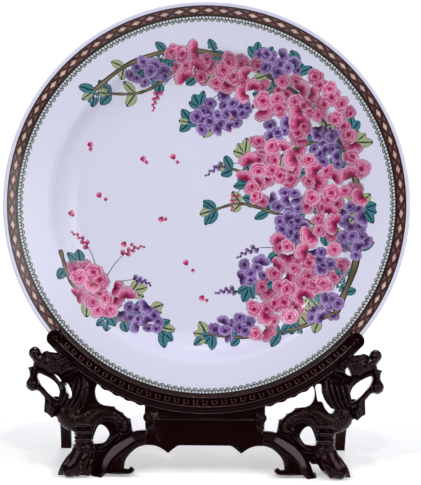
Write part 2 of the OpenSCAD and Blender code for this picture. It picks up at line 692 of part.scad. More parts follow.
module hinge_block(side) {
    color(REDWOOD) leaned() on_side(side) difference() {
        side_board(block_in, block_out) union() {
            translate([frame_back, hinge_h - cheek_r]) square([hinge_y - frame_back, 2 * cheek_r]);
            translate([hinge_y, hinge_h]) circle(r = cheek_r);
        }
        translate([block_in + cheek_t, frame_back + web_t, 0])
            cube([rear_leg_t + 2 * side_gap, far, 2 * hinge_h]);
        translate([0, hinge_y, hinge_h]) rotate([0, 90, 0]) cylinder(r = pin_r, h = far);
        for (h = hinge_screw_h) hinge_screw(h);
    }
}

// The pin, riveted over a low head on each side of the block
module hinge_pin(side) {
    long = block_out - block_in;
    color(BRASS) leaned() on_side(side) translate([block_in, hinge_y, hinge_h]) rotate([0, 90, 0])
        rotate_extrude() polygon([
            [0, -pin_reach], [pin_head_r - 0.6, -pin_reach], [pin_head_r, -0.5], [pin_head_r, 0], [pin_r, 0],
            [pin_r, long], [pin_head_r, long], [pin_head_r, long + 0.5], [pin_head_r - 0.6, long + pin_reach],
            [0, long + pin_reach]
        ]);
}

module hinge_screws() {
    color(STEEL) leaned() both_sides() for (h = hinge_screw_h) hinge_screw(h);
}

// Middle of the rear leg in (y, z) from the pin, upright axes, and its half width along the way
function leg_line() = curve([[0, 0], [rear_spread * 0.3, -pin_z * 0.17], [rear_spread * 0.66, -pin_z * 0.47],
    [rear_spread * 0.9, -pin_z * 0.8], [rear_spread, -pin_z - 4]], 4);
function leg_half_at(t) =
    leg_half - 1.4 * sin(180 * min(t * 1.15, 1)) + (rear_foot_w / 2 - leg_half) * t * t * t;

// One edge of the leg, on side s of its middle line
function leg_line_edge(s) = [
    let(q = leg_line(), n = len(q) - 1)
    for (i = [0 : n])
        let(d = q[min(i + 1, n)] - q[max(i - 1, 0)], u = d / norm(d))
        q[i] + s * leg_half_at(i / n) * [-u[1], u[0]]
];

// Outline of the leg from its foot up the lower edge, round the pin, over the heel and down the upper edge.
// The heel meets the block's web when the leg is open, and the round side swings past it.
function rear_leg_outline() =
    let(
        q = leg_line(),
        along = atan2(q[1][1], q[1][0]),
        heel = [cos(lean), -sin(lean)] * (stop_gap - heel_reach),
        up = [sin(lean), cos(lean)] * (leg_half + 0.6),
        upper = leg_line_edge(1)
    )
    concat(
        reversed(leg_line_edge(-1)),
        arc([0, 0], leg_half, along - 98, -180 - lean, 9),
        [heel, heel + up],
        [for (i = [1 : len(upper) - 1]) upper[i]]);

module rear_leg_side() {
    difference() {
        polygon(rear_leg_outline());
        circle(r = pin_r + pin_gap);
    }
}

module rear_leg(side) {
    color(REDWOOD) difference() {
        on_side(side) translate([rear_leg_x, pin_y - middle_y, pin_z]) rotate([90, 0, 90])
            linear_extrude(rear_leg_t) rear_leg_side();
        under_floor();
    }
}

plate();
front_rail();
apron_panel();
front_leg(-1);  // front_leg_left
front_leg(1);  // front_leg_right
dragon(-1);  // dragon_left
dragon(1);  // dragon_right
upright(-1);  // upright_left
upright(1);  // upright_right
cross_rail(upper_rail_h);  // back_rail_upper
cross_rail(lower_rail_h);  // back_rail_lower
back_rail_dowels();
upright_screws();
hinge_block(-1);  // hinge_block_left
hinge_block(1);  // hinge_block_right
hinge_pin(-1);  // hinge_pin_left
hinge_pin(1);  // hinge_pin_right
hinge_screws();
rear_leg(-1);  // rear_leg_left
rear_leg(1);  // rear_leg_right
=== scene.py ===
"""A porcelain display plate on a carved folding stand with two dragon wings.

Shapes are worked out in millimetres. The plate and the front frame share leaning axes: x to the right, y
back and h up along the lean. A piece's points become metres in the part's own axes when it is made.
"""

import bmesh
import bpy
import numpy as np
from mathutils import Matrix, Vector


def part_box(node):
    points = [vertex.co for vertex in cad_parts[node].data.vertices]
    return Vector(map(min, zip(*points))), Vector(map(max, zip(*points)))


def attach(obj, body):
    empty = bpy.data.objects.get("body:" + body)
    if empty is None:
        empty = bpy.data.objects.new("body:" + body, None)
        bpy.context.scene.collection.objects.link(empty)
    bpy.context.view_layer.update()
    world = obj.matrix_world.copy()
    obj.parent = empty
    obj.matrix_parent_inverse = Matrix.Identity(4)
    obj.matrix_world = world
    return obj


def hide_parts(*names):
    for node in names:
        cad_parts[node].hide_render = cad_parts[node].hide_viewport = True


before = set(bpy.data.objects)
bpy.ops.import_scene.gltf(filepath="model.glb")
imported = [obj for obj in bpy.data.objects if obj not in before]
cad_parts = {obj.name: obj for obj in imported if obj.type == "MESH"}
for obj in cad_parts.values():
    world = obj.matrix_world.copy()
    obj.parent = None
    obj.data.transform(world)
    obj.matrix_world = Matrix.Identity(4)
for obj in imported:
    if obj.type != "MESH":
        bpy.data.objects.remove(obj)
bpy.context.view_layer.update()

MM = 0.001

# ---- Sizes of the part ----

# The plate and the front frame lean back by LEAN, in leaning axes that start RISE above the floor
LEAN = np.radians(12)
RISE = 1.4

# The plate: its lowest point, its outer radius, and the height of its middle up the lean
PLATE_BOTTOM = 56.0
PLATE_R = 175.0
PLATE_H = PLATE_BOTTOM + PLATE_R

# Depths back from the rim's plane, of the plate and of the well's floor, and the well's radius
PLATE_DEPTH = 36.0
WELL_DEPTH = 24.0
WELL_R = 136.0

# How thick the plate is behind the well, and at its rim
WALL = 5.5
RIM = 3.5

# The foot ring on the plate's back, whose outer wall draws in towards its edge
FOOT_R = 100.0
FOOT_W = 4.0
FOOT_LEAN_IN = 1.4

# The back face of the front frame's boards, and the radius of the rail's outer edge
FRAME_BACK = 14.0
RAIL_R = 180.5

# The foot ring's top is the rearmost point of the plate, which places the leaning axes in the part
FOOT_REACH = (PLATE_H + FOOT_R - FOOT_LEAN_IN) * np.sin(LEAN) + PLATE_DEPTH * np.cos(LEAN)
MIDDLE_Y = FOOT_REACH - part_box("plate")[1].y / MM


# ---- Points, curves and meshes ----

def leaned(points):
    """Leaning axes to the part's axes: a turn about x by the lean, then the frame's own place."""
    x, y, h = np.moveaxis(np.asarray(points, float), -1, 0)
    back = y * np.cos(LEAN) + h * np.sin(LEAN) - MIDDLE_Y
    up = h * np.cos(LEAN) - y * np.sin(LEAN) + RISE
    return np.stack([x, back, up], -1)


def unleaned(points):
    """The part's axes back to the leaning axes."""
    x, y, z = np.moveaxis(np.asarray(points, float), -1, 0)
    back, up = y + MIDDLE_Y, z - RISE
    y = back * np.cos(LEAN) - up * np.sin(LEAN)
    h = back * np.sin(LEAN) + up * np.cos(LEAN)
    return np.stack([x, y, h], -1)


def smooth(points, steps):
    """A Catmull-Rom curve: between neighbours it is the cubic that passes through both, and whose slope at
    each is half the way from the point before it to the point after it."""
    p = np.asarray(points, float)
    q = np.vstack([p[:1], p, p[-1:]])
    t = (np.arange(steps) / steps)[None, :, None]
    a, b, c, d = (q[i:len(q) - 3 + i, None] for i in range(4))
    runs = 0.5 * (2 * b + (c - a) * t + (2 * a - 5 * b + 4 * c - d) * t**2 + (3 * b - a - 3 * c + d) * t**3)
    return np.vstack([runs.reshape(-1, p.shape[1]), p[-1:]])


def quads(rows, cols, wrap_rows=False, wrap_cols=False):
    """Corner numbers of the faces of a grid: point (i, j) is number i * cols + j, and each face joins it to
    its neighbours beside and below. A wrapped side joins its last line to its first."""
    i = np.arange(rows if wrap_rows else rows - 1)[:, None]
    j = np.arange(cols if wrap_cols else cols - 1)[None, :]
    below, beside = (i + 1) % rows, (j + 1) % cols
    corners = [i * cols + j, i * cols + beside, below * cols + beside, below * cols + j]
    return np.stack(np.broadcast_arrays(*corners), -1).reshape(-1, 4)


def halves(faces):
    """Two triangles for each four-cornered face."""
    return np.vstack([faces[:, [0, 1, 2]], faces[:, [0, 2, 3]]])


def repeated(faces, points_each, count):
    """The faces of one patch for each of count patches: every next one starts points_each corners later."""
    return (faces[None] + points_each * np.arange(count)[:, None, None]).reshape(-1, faces.shape[1])


def stacked(shapes):
    """Several (points, faces) as one, with each shape's corners counted on from the points before it."""
    first = np.cumsum([0] + [len(points) for points, _ in shapes[:-1]])
    faces = [corners + start for (_, corners), start in zip(shapes, first)]
    return np.vstack([points for points, _ in shapes]), np.vstack(faces)


def new_mesh(name, points, faces):
    """A mesh in metres from points in millimetres and faces of one size."""
    points, faces = np.asarray(points, float).reshape(-1, 3), np.asarray(faces)
    mesh = bpy.data.meshes.new(name)
    mesh.vertices.add(len(points))
    mesh.vertices.foreach_set("co", (points * MM).astype(np.float32).ravel())
    mesh.loops.add(faces.size)
    mesh.loops.foreach_set("vertex_index", faces.astype(np.int32).ravel())
    mesh.polygons.add(len(faces))
    mesh.polygons.foreach_set("loop_start", np.arange(0, faces.size, faces.shape[1], dtype=np.int32))
    mesh.update(calc_edges=True)
    return mesh


def paint(mesh, colours):
    """One colour for each point, as an attribute that the material reads."""
    rgba = np.ones((len(mesh.vertices), 4), np.float32)
    rgba[:, :3] = colours
    mesh.attributes.new("paint", "FLOAT_COLOR", "POINT").data.foreach_set("color", rgba.ravel())


def tidy(mesh, merge=0.002):
    """Merges points that lie together, drops faces that lose their area, and turns the rest outwards."""
    work = bmesh.new()
    work.from_mesh(mesh)
    bmesh.ops.remove_doubles(work, verts=work.verts, dist=merge * MM)
    bmesh.ops.dissolve_degenerate(work, edges=work.edges, dist=merge * MM / 4)
    bmesh.ops.recalc_face_normals(work, faces=work.faces)
    work.to_mesh(mesh)
    work.free()


def points_of(mesh):
    """The mesh's points in millimetres, in the axes that it is in so far."""
    co = np.empty(len(mesh.vertices) * 3, np.float32)
    mesh.vertices.foreach_get("co", co)
    return co.reshape(-1, 3).astype(float) / MM


def normals_of(mesh):
    """The direction of the mesh's skin at each of its points, as unit vectors."""
    n = np.empty(len(mesh.vertices) * 3, np.float32)
    mesh.vertex_normals.foreach_get("vector", n)
    return n.reshape(-1, 3).astype(float)


def put_points(mesh, points):
    """Moves the mesh's points to new places, given in millimetres."""
    mesh.vertices.foreach_set("co", (points * MM).astype(np.float32).ravel())
    mesh.update()


def add_piece(mesh, material, body, sharp, replaces=()):
    """Puts a finished mesh in the scene, shaded smooth up to the sharp angle, riding on a body of the
    frame. What it replaces is a list of CAD nodes."""
    mesh.shade_smooth()
    mesh.set_sharp_from_angle(angle=np.radians(sharp))
    mesh.materials.clear()
    mesh.materials.append(material)
    obj = bpy.data.objects.new(mesh.name, mesh)
    bpy.context.scene.collection.objects.link(obj)
    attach(obj, body)
    if replaces:
        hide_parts(*replaces)
    return obj


def finish_modifiers(obj):
    """Turns the piece's modifiers into its mesh."""
    bpy.context.view_layer.update()
    graph = bpy.context.evaluated_depsgraph_get()
    mesh = bpy.data.meshes.new_from_object(obj.evaluated_get(graph))
    mesh.name = obj.name
    obj.modifiers.clear()
    obj.data = mesh
    return mesh


# ---- Materials ----

class Finish:
    """A material's node tree with short calls for the nodes that the finishes share."""

    # A colour mix node has inputs and outputs for other kinds of value too, under the same names
    MIX_SHARE_AND_COLOURS = (0, 6, 7)
    MIX_RESULT = 2

    def __init__(self, name):
        self.material = bpy.data.materials.new(name)
        self.material.use_nodes = True
        self.tree = self.material.node_tree
        self.shader = self.tree.nodes["Principled BSDF"]
        self.place = self.node("ShaderNodeTexCoord").outputs["Object"]

    def node(self, kind, **settings):
        """A new node of a kind, with its settings."""
        made = self.tree.nodes.new(kind)
        for key, value in settings.items():
            setattr(made, key, value)
        return made

    def link(self, source, target):
        """Leads a node's output into another node's input."""
        self.tree.links.new(source, target)

    def feed(self, socket, value):
        """Gives an input a fixed value, or leads another node's output into it."""
        if isinstance(value, bpy.types.NodeSocket):
            self.link(value, socket)
        else:
            socket.default_value = value

    def set(self, **sockets):
        """Feeds the shader's own inputs, called by their names."""
        for key, value in sockets.items():
            self.feed(self.shader.inputs[key.replace("_", " ")], value)

    def stretched(self, scale):
        """Object coordinates times the scale along each axis: a pattern is drawn out along the smallest."""
        mapping = self.node("ShaderNodeMapping")
        mapping.inputs["Scale"].default_value = scale
        self.link(self.place, mapping.inputs["Vector"])
        return mapping.outputs["Vector"]

    def noise(self, scale, detail=3.0, rough=0.55, at=None, distortion=0.0):
        """Layered noise from 0 to 1, at the place given or else at the object's own, in metres."""
        made = self.node("ShaderNodeTexNoise")
        made.inputs["Scale"].default_value = scale
        made.inputs["Detail"].default_value = detail
        made.inputs["Roughness"].default_value = rough
        made.inputs["Distortion"].default_value = distortion
        self.link(at or self.place, made.inputs["Vector"])
        return made.outputs["Fac"]

    def ramp(self, value, stops):
        """The colour that a value from 0 to 1 picks between stops of (place, colour)."""
        made = self.node("ShaderNodeValToRGB")
        elements = made.color_ramp.elements
        while len(elements) < len(stops):
            elements.new(0.5)
        for element, (at, colour) in zip(elements, stops):
            element.position = at
            element.color = (*colour, 1)
        self.link(value, made.inputs["Fac"])
        return made.outputs["Color"]

    def span(self, value, low, high):
        """A value from 0 to 1 spread evenly from low to high."""
        made = self.node("ShaderNodeMapRange")
        made.inputs["To Min"].default_value = low
        made.inputs["To Max"].default_value = high
        self.link(value, made.inputs["Value"])
        return made.outputs["Result"]

    def mix(self, share, first, second, kind="MIX"):
        """The first colour, with a share of the second mixed or multiplied in."""
        made = self.node("ShaderNodeMix", data_type="RGBA", blend_type=kind)
        for number, value in zip(self.MIX_SHARE_AND_COLOURS, (share, first, second)):
            self.feed(made.inputs[number], (*value, 1) if isinstance(value, tuple) else value)
        return made.outputs[self.MIX_RESULT]

    def bump(self, height, strength, distance):
        """Tilts the shading as a relief of the height given would, distance metres deep."""
        made = self.node("ShaderNodeBump")
        made.inputs["Strength"].default_value = strength
        made.inputs["Distance"].default_value = distance
        self.link(height, made.inputs["Height"])
        self.set(Normal=made.outputs["Normal"])

    def painted(self):
        """The colour that the piece's points carry."""
        return self.node("ShaderNodeAttribute", attribute_name="paint").outputs["Color"]

    def within(self):
        """A point's place in its petal: across (-1 to 1), along (0 to 1), and the petal's own chance."""
        parts = self.node("ShaderNodeSeparateXYZ")
        place = self.node("ShaderNodeAttribute", attribute_name="place").outputs["Vector"]
        self.link(place, parts.inputs["Vector"])
        return [parts.outputs[axis] for axis in "XYZ"]

    def flecked(self, darkest):
        """A fine fleck from the darkest colour up to white, to be multiplied in."""
        return self.ramp(self.noise(700.0), [(0.3, darkest), (0.7, (1.0, 1.0, 1.0))])

    def math(self, operation, *values):
        """The result of one sum on values or other nodes' outputs."""
        made = self.node("ShaderNodeMath", operation=operation)
        for socket, value in zip(made.inputs, values):
            self.feed(socket, value)
        return made.outputs["Value"]

    def edge(self, value, low, high):
        """0 up to low and 1 from high, with a soft step between. Low above high turns it round."""
        made = self.node("ShaderNodeMapRange", interpolation_type="SMOOTHSTEP")
        made.inputs["From Min"].default_value = low
        made.inputs["From Max"].default_value = high
        self.link(value, made.inputs["Value"])
        return made.outputs["Result"]


# Colours of the finishes. The stain also tints the lacquer's shine
GLAZE_WHITE = (0.640, 0.650, 0.752)
GLAZE_CLOUD = (0.560, 0.552, 0.672)
BISCUIT = (0.55, 0.47, 0.38)
OUTLINE_GREEN = (0.006, 0.020, 0.026)
STAIN_SHINE = (1.0, 0.60, 0.63, 1)


def glaze():
    """Bluish white porcelain, clouded a little, under a clear glaze. The colour comes from the piece's
    paint, so that the foot ring's edge can be bare."""
    f = Finish("porcelain_glaze")
    cloud = f.noise(9.0, detail=2.0)
    body = f.mix(f.span(cloud, 0.0, 0.3), f.painted(), GLAZE_CLOUD)
    f.set(Base_Color=body, Roughness=0.45, Specular_IOR_Level=0.25, Coat_Weight=0.4, Coat_Roughness=0.22)
    f.bump(f.noise(55.0, detail=2.0), 0.05, 0.0002)
    return f.material


def enamel():
    """Overglaze enamel: the painted colour, mottled a little, glossy and slightly raised."""
    f = Finish("overglaze_enamel")
    colour = f.mix(0.8, f.painted(), f.flecked((0.80, 0.78, 0.80)), "MULTIPLY")
    f.set(Base_Color=colour, Roughness=0.28, Specular_IOR_Level=0.2, Coat_Weight=0.4, Coat_Roughness=0.10)
    f.bump(f.noise(900.0, detail=2.0), 0.12, 0.0001)
    return f.material


def petal_paint(name, stops, line, wash):
    """Enamel shaded from a petal's base to its tip: the way along it, plus 0.3 times the cube of the way
    across, picks the colour, and drawn out noise shifts it by up to half the wash. The outline is a drawn
    line."""
    f = Finish(name)
    side, along, chance = f.within()
    across = f.math("ABSOLUTE", side)
    stretch = f.node("ShaderNodeCombineXYZ")
    f.feed(stretch.inputs["X"], f.math("MULTIPLY", side, 9.0))
    f.feed(stretch.inputs["Y"], along)
    f.feed(stretch.inputs["Z"], f.math("MULTIPLY", chance, 60.0))
    vein = f.math("SUBTRACT", f.noise(1.6, detail=2.0, at=stretch.outputs["Vector"]), 0.5)
    reach = f.math("ADD", along, f.math("MULTIPLY", f.math("POWER", across, 3.0), 0.30))
    shaded = f.ramp(f.math("ADD", reach, f.math("MULTIPLY", vein, wash)), stops)
    rim = f.edge(f.math("MAXIMUM", across, along), 0.93, 0.985)
    toned = f.mix(1.0, f.mix(rim, shaded, line), f.painted(), "MULTIPLY")
    toned = f.mix(1.0, toned, f.flecked((0.84, 0.82, 0.84)), "MULTIPLY")
    f.set(Base_Color=toned, Roughness=0.34, Specular_IOR_Level=0.15, Coat_Weight=0.3, Coat_Roughness=0.14)
    return f.material


def leaf_paint():
    """Teal or sage leaves, picked by the paint's green, each lightest between its midrib and its edge, with
    a midrib, side veins and an outline."""
    f = Finish("leaf_enamel")
    side, along, _ = f.within()
    across = f.math("ABSOLUTE", side)
    pick = f.node("ShaderNodeSeparateColor")
    f.link(f.painted(), pick.inputs["Color"])
    teal = f.ramp(across, [(0.0, (0.016, 0.085, 0.105)), (0.30, (0.055, 0.205, 0.240)),
                           (1.0, (0.010, 0.050, 0.068))])
    sage = f.ramp(across, [(0.0, (0.180, 0.230, 0.100)), (0.30, (0.400, 0.440, 0.240)),
                           (1.0, (0.150, 0.190, 0.085))])
    body = f.mix(f.edge(pick.outputs["Green"], 0.3, 0.4), teal, sage)
    rib = f.math("ABSOLUTE", f.math("SUBTRACT", f.math("FRACT", f.math("MULTIPLY", across, 2.6)), 0.5))
    side_vein = f.math("MULTIPLY", f.edge(rib, 0.40, 0.47), 0.7)
    midrib = f.edge(across, 0.13, 0.05)
    rim = f.edge(f.math("MAXIMUM", across, along), 0.84, 0.92)
    lines = f.math("MAXIMUM", f.math("MAXIMUM", side_vein, midrib), rim)
    f.set(Base_Color=f.mix(lines, body, OUTLINE_GREEN), Roughness=0.34, Specular_IOR_Level=0.15)
    f.set(Coat_Weight=0.3, Coat_Roughness=0.14)
    return f.material


def lacquered_wood(name, stain, grain, gloss=0.07, shine=0.16, polish=None):
    """Stained rosewood: pores and figure drawn out along the grain, under lacquer that has kept the tool's
    ripples and takes some of the stain's red into its shine. Where the piece is painted white, it is
    polished more."""
    dark, light = stain
    f = Finish(name)
    along = f.stretched(grain)
    figure = f.noise(60.0, detail=5.0, rough=0.6, at=along, distortion=0.6)
    pores = f.noise(420.0, detail=3.0, rough=0.7, at=along)
    tone = f.ramp(figure, [(0.30, dark), (0.62, light), (0.80, tuple(0.6 * c for c in light))])
    f.set(Base_Color=f.mix(f.span(pores, 0.0, 0.7), tone, tuple(0.35 * c for c in dark)))
    level = f.span(f.painted(), shine, polish) if polish else shine
    f.set(Roughness=f.span(pores, gloss, gloss + 0.12), Specular_IOR_Level=shine, Specular_Tint=STAIN_SHINE)
    f.set(Coat_Weight=level, Coat_Roughness=gloss, Coat_IOR=1.34)
    f.bump(f.noise(330.0, detail=2.0), 0.42, 0.0005)
    return f.material


def metal(name, colour, rough):
    """Old metal: a tarnish that dulls the colour in patches, and fine scratches in the roughness."""
    f = Finish(name)
    patch = f.noise(300.0, detail=4.0)
    dull = tuple(0.45 * c for c in colour)
    f.set(Base_Color=f.ramp(patch, [(0.35, colour), (0.75, dull)]), Metallic=1.0)
    f.set(Roughness=f.span(f.noise(900.0, detail=2.0, at=f.stretched((1.0, 1.0, 8.0))), rough, rough + 0.25))
    return f.material


GLAZE = glaze()
ENAMEL = enamel()
PINK = petal_paint("pink_enamel", [(0.12, (0.200, 0.006, 0.045)), (0.38, (0.470, 0.028, 0.125)),
                                   (0.64, (0.620, 0.110, 0.270)), (0.84, (0.790, 0.340, 0.510)),
                                   (0.97, (0.880, 0.580, 0.710))], (0.230, 0.014, 0.070), 0.32)
VIOLET = petal_paint("violet_enamel", [(0.10, (0.030, 0.006, 0.055)), (0.38, (0.115, 0.045, 0.190)),
                                       (0.64, (0.240, 0.125, 0.370)), (0.84, (0.440, 0.320, 0.620)),
                                       (0.96, (0.560, 0.460, 0.740))], (0.040, 0.012, 0.070), 0.30)
LEAF = leaf_paint()

# Stains as (dark, light), and how the grain runs
BLACK_STAIN = ((0.0022, 0.0005, 0.0007), (0.012, 0.0019, 0.0021))
# The fret's lighter stain is a painted highlight: it stands in for the light that its keys and raised lines
# catch
PAINTED_HIGHLIGHT_STAIN = ((0.009, 0.0022, 0.0025), (0.046, 0.0130, 0.0140))
RED_STAIN = ((0.010, 0.0018, 0.0014), (0.036, 0.0060, 0.0042))
ACROSS = (1.0, 9.0, 9.0)
UPRIGHT = (9.0, 9.0, 1.0)
BLACK_WOOD = lacquered_wood("black_rosewood_across", BLACK_STAIN, ACROSS)
LEG_WOOD = lacquered_wood("black_rosewood_upright", BLACK_STAIN, UPRIGHT, 0.08, 0.09, polish=0.62)
RAIL_WOOD = lacquered_wood("black_rosewood_rail", BLACK_STAIN, ACROSS, gloss=0.08, shine=0.06)
# Painted highlight: the fret's keys and lines are stained lighter so that they look lit
FRET_WOOD = lacquered_wood("rosewood_painted_highlight", PAINTED_HIGHLIGHT_STAIN, ACROSS, gloss=0.12, shine=0.60)
RED_WOOD = lacquered_wood("red_rosewood_across", RED_STAIN, ACROSS, gloss=0.22, shine=0.04)
RED_WOOD_UP = lacquered_wood("red_rosewood_upright", RED_STAIN, UPRIGHT, gloss=0.22, shine=0.04)
BRASS = metal("aged_brass", (0.62, 0.42, 0.17), 0.28)
STEEL = metal("zinc_steel", (0.52, 0.52, 0.54), 0.30)


# ---- Plate ----

# Steps between the points of the section's curves, and round the plate
SECTION_STEPS = 12
PLATE_STEPS = 360

# The glaze stops this far short of the foot ring's edge, and thins out over the fade
GLAZE_STOP = 1.2
GLAZE_FADE = 0.4


def front_profile():
    """Front of the plate from the middle to the rim, as (r, d): d is forward of the rim's plane. The well
    is flat and turns up in a smooth curve, and the flange rises in another."""
    well = [[0, -WELL_DEPTH], [WELL_R - 60, -WELL_DEPTH], [WELL_R - 26, -WELL_DEPTH]]
    turn_up = [[WELL_R - 22, -WELL_DEPTH + 0.3], [WELL_R - 11, -WELL_DEPTH + 4.5], [WELL_R - 3, -10.5],
               [WELL_R, -8.6]]
    flange = [[WELL_R + 1.5, -8], [(WELL_R + PLATE_R) / 2, -4.4], [PLATE_R - 4, -0.7], [PLATE_R - 1.8, 0]]
    return np.vstack([well, smooth(turn_up, SECTION_STEPS), smooth(flange, SECTION_STEPS)])


def back_profile():
    """Back of the plate from the rim to the middle, as (r, d): a smooth curve under the flange and the
    well's turn, the foot ring between two small curves, its edge eased by half a millimetre, and a flat
    middle."""
    flat = -WELL_DEPTH - WALL
    outer = FOOT_R - FOOT_LEAN_IN
    inner = outer - FOOT_W
    under = [[PLATE_R - 2.5, -RIM], [0.55 * WELL_R + 0.45 * PLATE_R, -RIM - 6.2], [WELL_R + 1, -15],
             [WELL_R - 9, -22.5], [WELL_R - 19, flat + 0.8], [0.65 * FOOT_R + 0.35 * WELL_R, flat]]
    ring_outside = [[FOOT_R + 3, flat], [FOOT_R, flat - 0.8], [FOOT_R - 0.8, flat - 3]]
    ring_edge = [[outer, -PLATE_DEPTH + 0.5], [outer - 0.5, -PLATE_DEPTH], [inner + 0.5, -PLATE_DEPTH],
                 [inner, -PLATE_DEPTH + 0.5]]
    ring_inside = [[FOOT_R - 7, flat - 3], [FOOT_R - 8, flat - 0.8], [FOOT_R - 12, flat]]
    middle = [[FOOT_R - 40, flat], [0, flat]]
    return np.vstack([smooth(under, SECTION_STEPS), smooth(ring_outside, 4), ring_edge,
                      smooth(ring_inside, 4), middle])


FRONT = front_profile()


def height_at(r):
    """Height of the plate's front over the rim's plane at distance r from the middle."""
    return np.interp(r, FRONT[:, 0], FRONT[:, 1])


def on_plate(xy, lift):
    """Points of the plate's face, x right and y up from its middle, raised by lift, in the part's axes.
    Where the face turns into the well they rise a little more, so that flat faces don't sink there."""
    x, y = np.moveaxis(np.asarray(xy, float), -1, 0)
    r = np.hypot(x, y)
    d = height_at(r) + lift + 0.2 * np.exp(-((r - WELL_R + 2) / 5)**2)
    return leaned(np.stack([x, -d, PLATE_H + y], -1))


def turned(r, d, a):
    """Points at distance r from the plate's axis and d forward of the rim's plane, at angle a from straight
    down: r times the sine of a to the right, and r times its cosine below the middle."""
    x = r * np.sin(a)
    return np.stack([x, np.broadcast_to(-d, x.shape), PLATE_H - r * np.cos(a)], -1)


def make_plate():
    """The section turned about the plate's axis, closed at both middles. The rim is a half round."""
    round_it = np.radians(np.linspace(80, -80, 9))
    rim = np.stack([PLATE_R - RIM / 2 * (1 - np.cos(round_it)), -RIM / 2 * (1 - np.sin(round_it))], -1)
    section = np.vstack([FRONT, rim, back_profile()])
    a = np.linspace(0, 2 * np.pi, PLATE_STEPS, endpoint=False)
    points = turned(section[:, :1], section[:, 1:], a)
    mesh = new_mesh("plate_body", leaned(points), quads(len(section), PLATE_STEPS, wrap_cols=True))
    tidy(mesh)
    place = unleaned(points_of(mesh))
    bare = np.clip((place[:, 1] - (PLATE_DEPTH - GLAZE_STOP)) / GLAZE_FADE, 0, 1)[:, None]
    paint(mesh, (1 - bare) * np.array(GLAZE_WHITE) + bare * np.array(BISCUIT))
    return add_piece(mesh, GLAZE, "plate", 60, ["plate"])


# ---- Border: lace of scallops and a band of lozenges, raised a little over the glaze ----

PLUM = (0.030, 0.010, 0.016)
OLIVE_BLACK = (0.016, 0.013, 0.006)
OXBLOOD = (0.040, 0.010, 0.009)
RUSSET = (0.110, 0.028, 0.024)
MAUVE = (0.165, 0.085, 0.088)
CREAMS = np.array([[0.62, 0.45, 0.33], [0.64, 0.42, 0.34], [0.70, 0.53, 0.40], [0.60, 0.40, 0.37]])
LACE_GREEN = np.array([0.062, 0.085, 0.045])
LACE_PALE = np.array([0.170, 0.230, 0.130])
LACE_SHADE = (0.035, 0.040, 0.020)

# The band of lozenges runs from radius BAND_IN to BAND_OUT, and the lace starts just inside it
BAND_IN, BAND_OUT = 164.2, 170.6
BAND_MIDDLE = (BAND_IN + BAND_OUT) / 2
HALF_BAND = (BAND_OUT - BAND_IN) / 2
LACE_TOP = BAND_IN - 2.0
LOZENGES = 82
SCALLOPS = 176

# The half height of a lozenge and of the lattice as shares of the half band, and the half width of a
# lozenge and of a dart as shares of a cell
LOZENGE_HIGH = 0.66
LATTICE_HIGH = 0.92
LOZENGE_WIDE = 0.33
DART_WIDE = 0.22


def round_plate(r, a):
    """Points at distance r from the plate's middle and angle a from its top: x is r sin a, y is r cos a."""
    return np.stack([r * np.sin(a), r * np.cos(a)], -1)


def ribbon(path, half, lift, colours, closed=False):
    """A flat strip on the plate's face along a path of (x, y), half wide to each side of it. It is raised
    by lift over its middle three fifths, and its edges slope down into the glaze."""
    ahead = np.roll(path, -1, 0) - np.roll(path, 1, 0) if closed else np.gradient(path, axis=0)
    ahead = ahead / np.linalg.norm(ahead, axis=1, keepdims=True)
    side = np.stack([-ahead[:, 1], ahead[:, 0]], -1)
    across = np.array([-1.0, -0.6, 0.6, 1.0])
    rise = np.array([-0.06, 1.0, 1.0, -0.06])
    width = np.broadcast_to(half, len(path))[:, None]
    xy = path[:, None] + side[:, None] * (across[None, :] * width)[..., None]
    points = on_plate(xy, lift * rise[None, :])
    faces = quads(len(path), 4, wrap_rows=closed)
    return points.reshape(-1, 3), faces, np.repeat(np.broadcast_to(colours, (len(path), 3)), 4, 0)


def gathered(name, parts, material=ENAMEL):
    """One piece on the plate from several (points, faces, colours)."""
    mesh = new_mesh(name, *stacked([part[:2] for part in parts]))
    paint(mesh, np.vstack([colours for _, _, colours in parts]))
    return add_piece(mesh, material, "plate", 60)


def make_border_ground():
    """Three plain rings that overlap a little: the band, an olive line inside it and a plum one outside."""
    a = np.linspace(0, 2 * np.pi, 720, endpoint=False)
    rings = ((BAND_IN - 1.9, BAND_IN - 0.2, OLIVE_BLACK), (BAND_IN - 0.2, BAND_OUT, OXBLOOD),
             (BAND_OUT - 0.1, BAND_OUT + 0.9, PLUM))
    gathered("border_ground", [
        ribbon(round_plate((low + high) / 2, a), (high - low) / 2 + 0.15, 0.06, colour, True)
        for low, high, colour in rings])


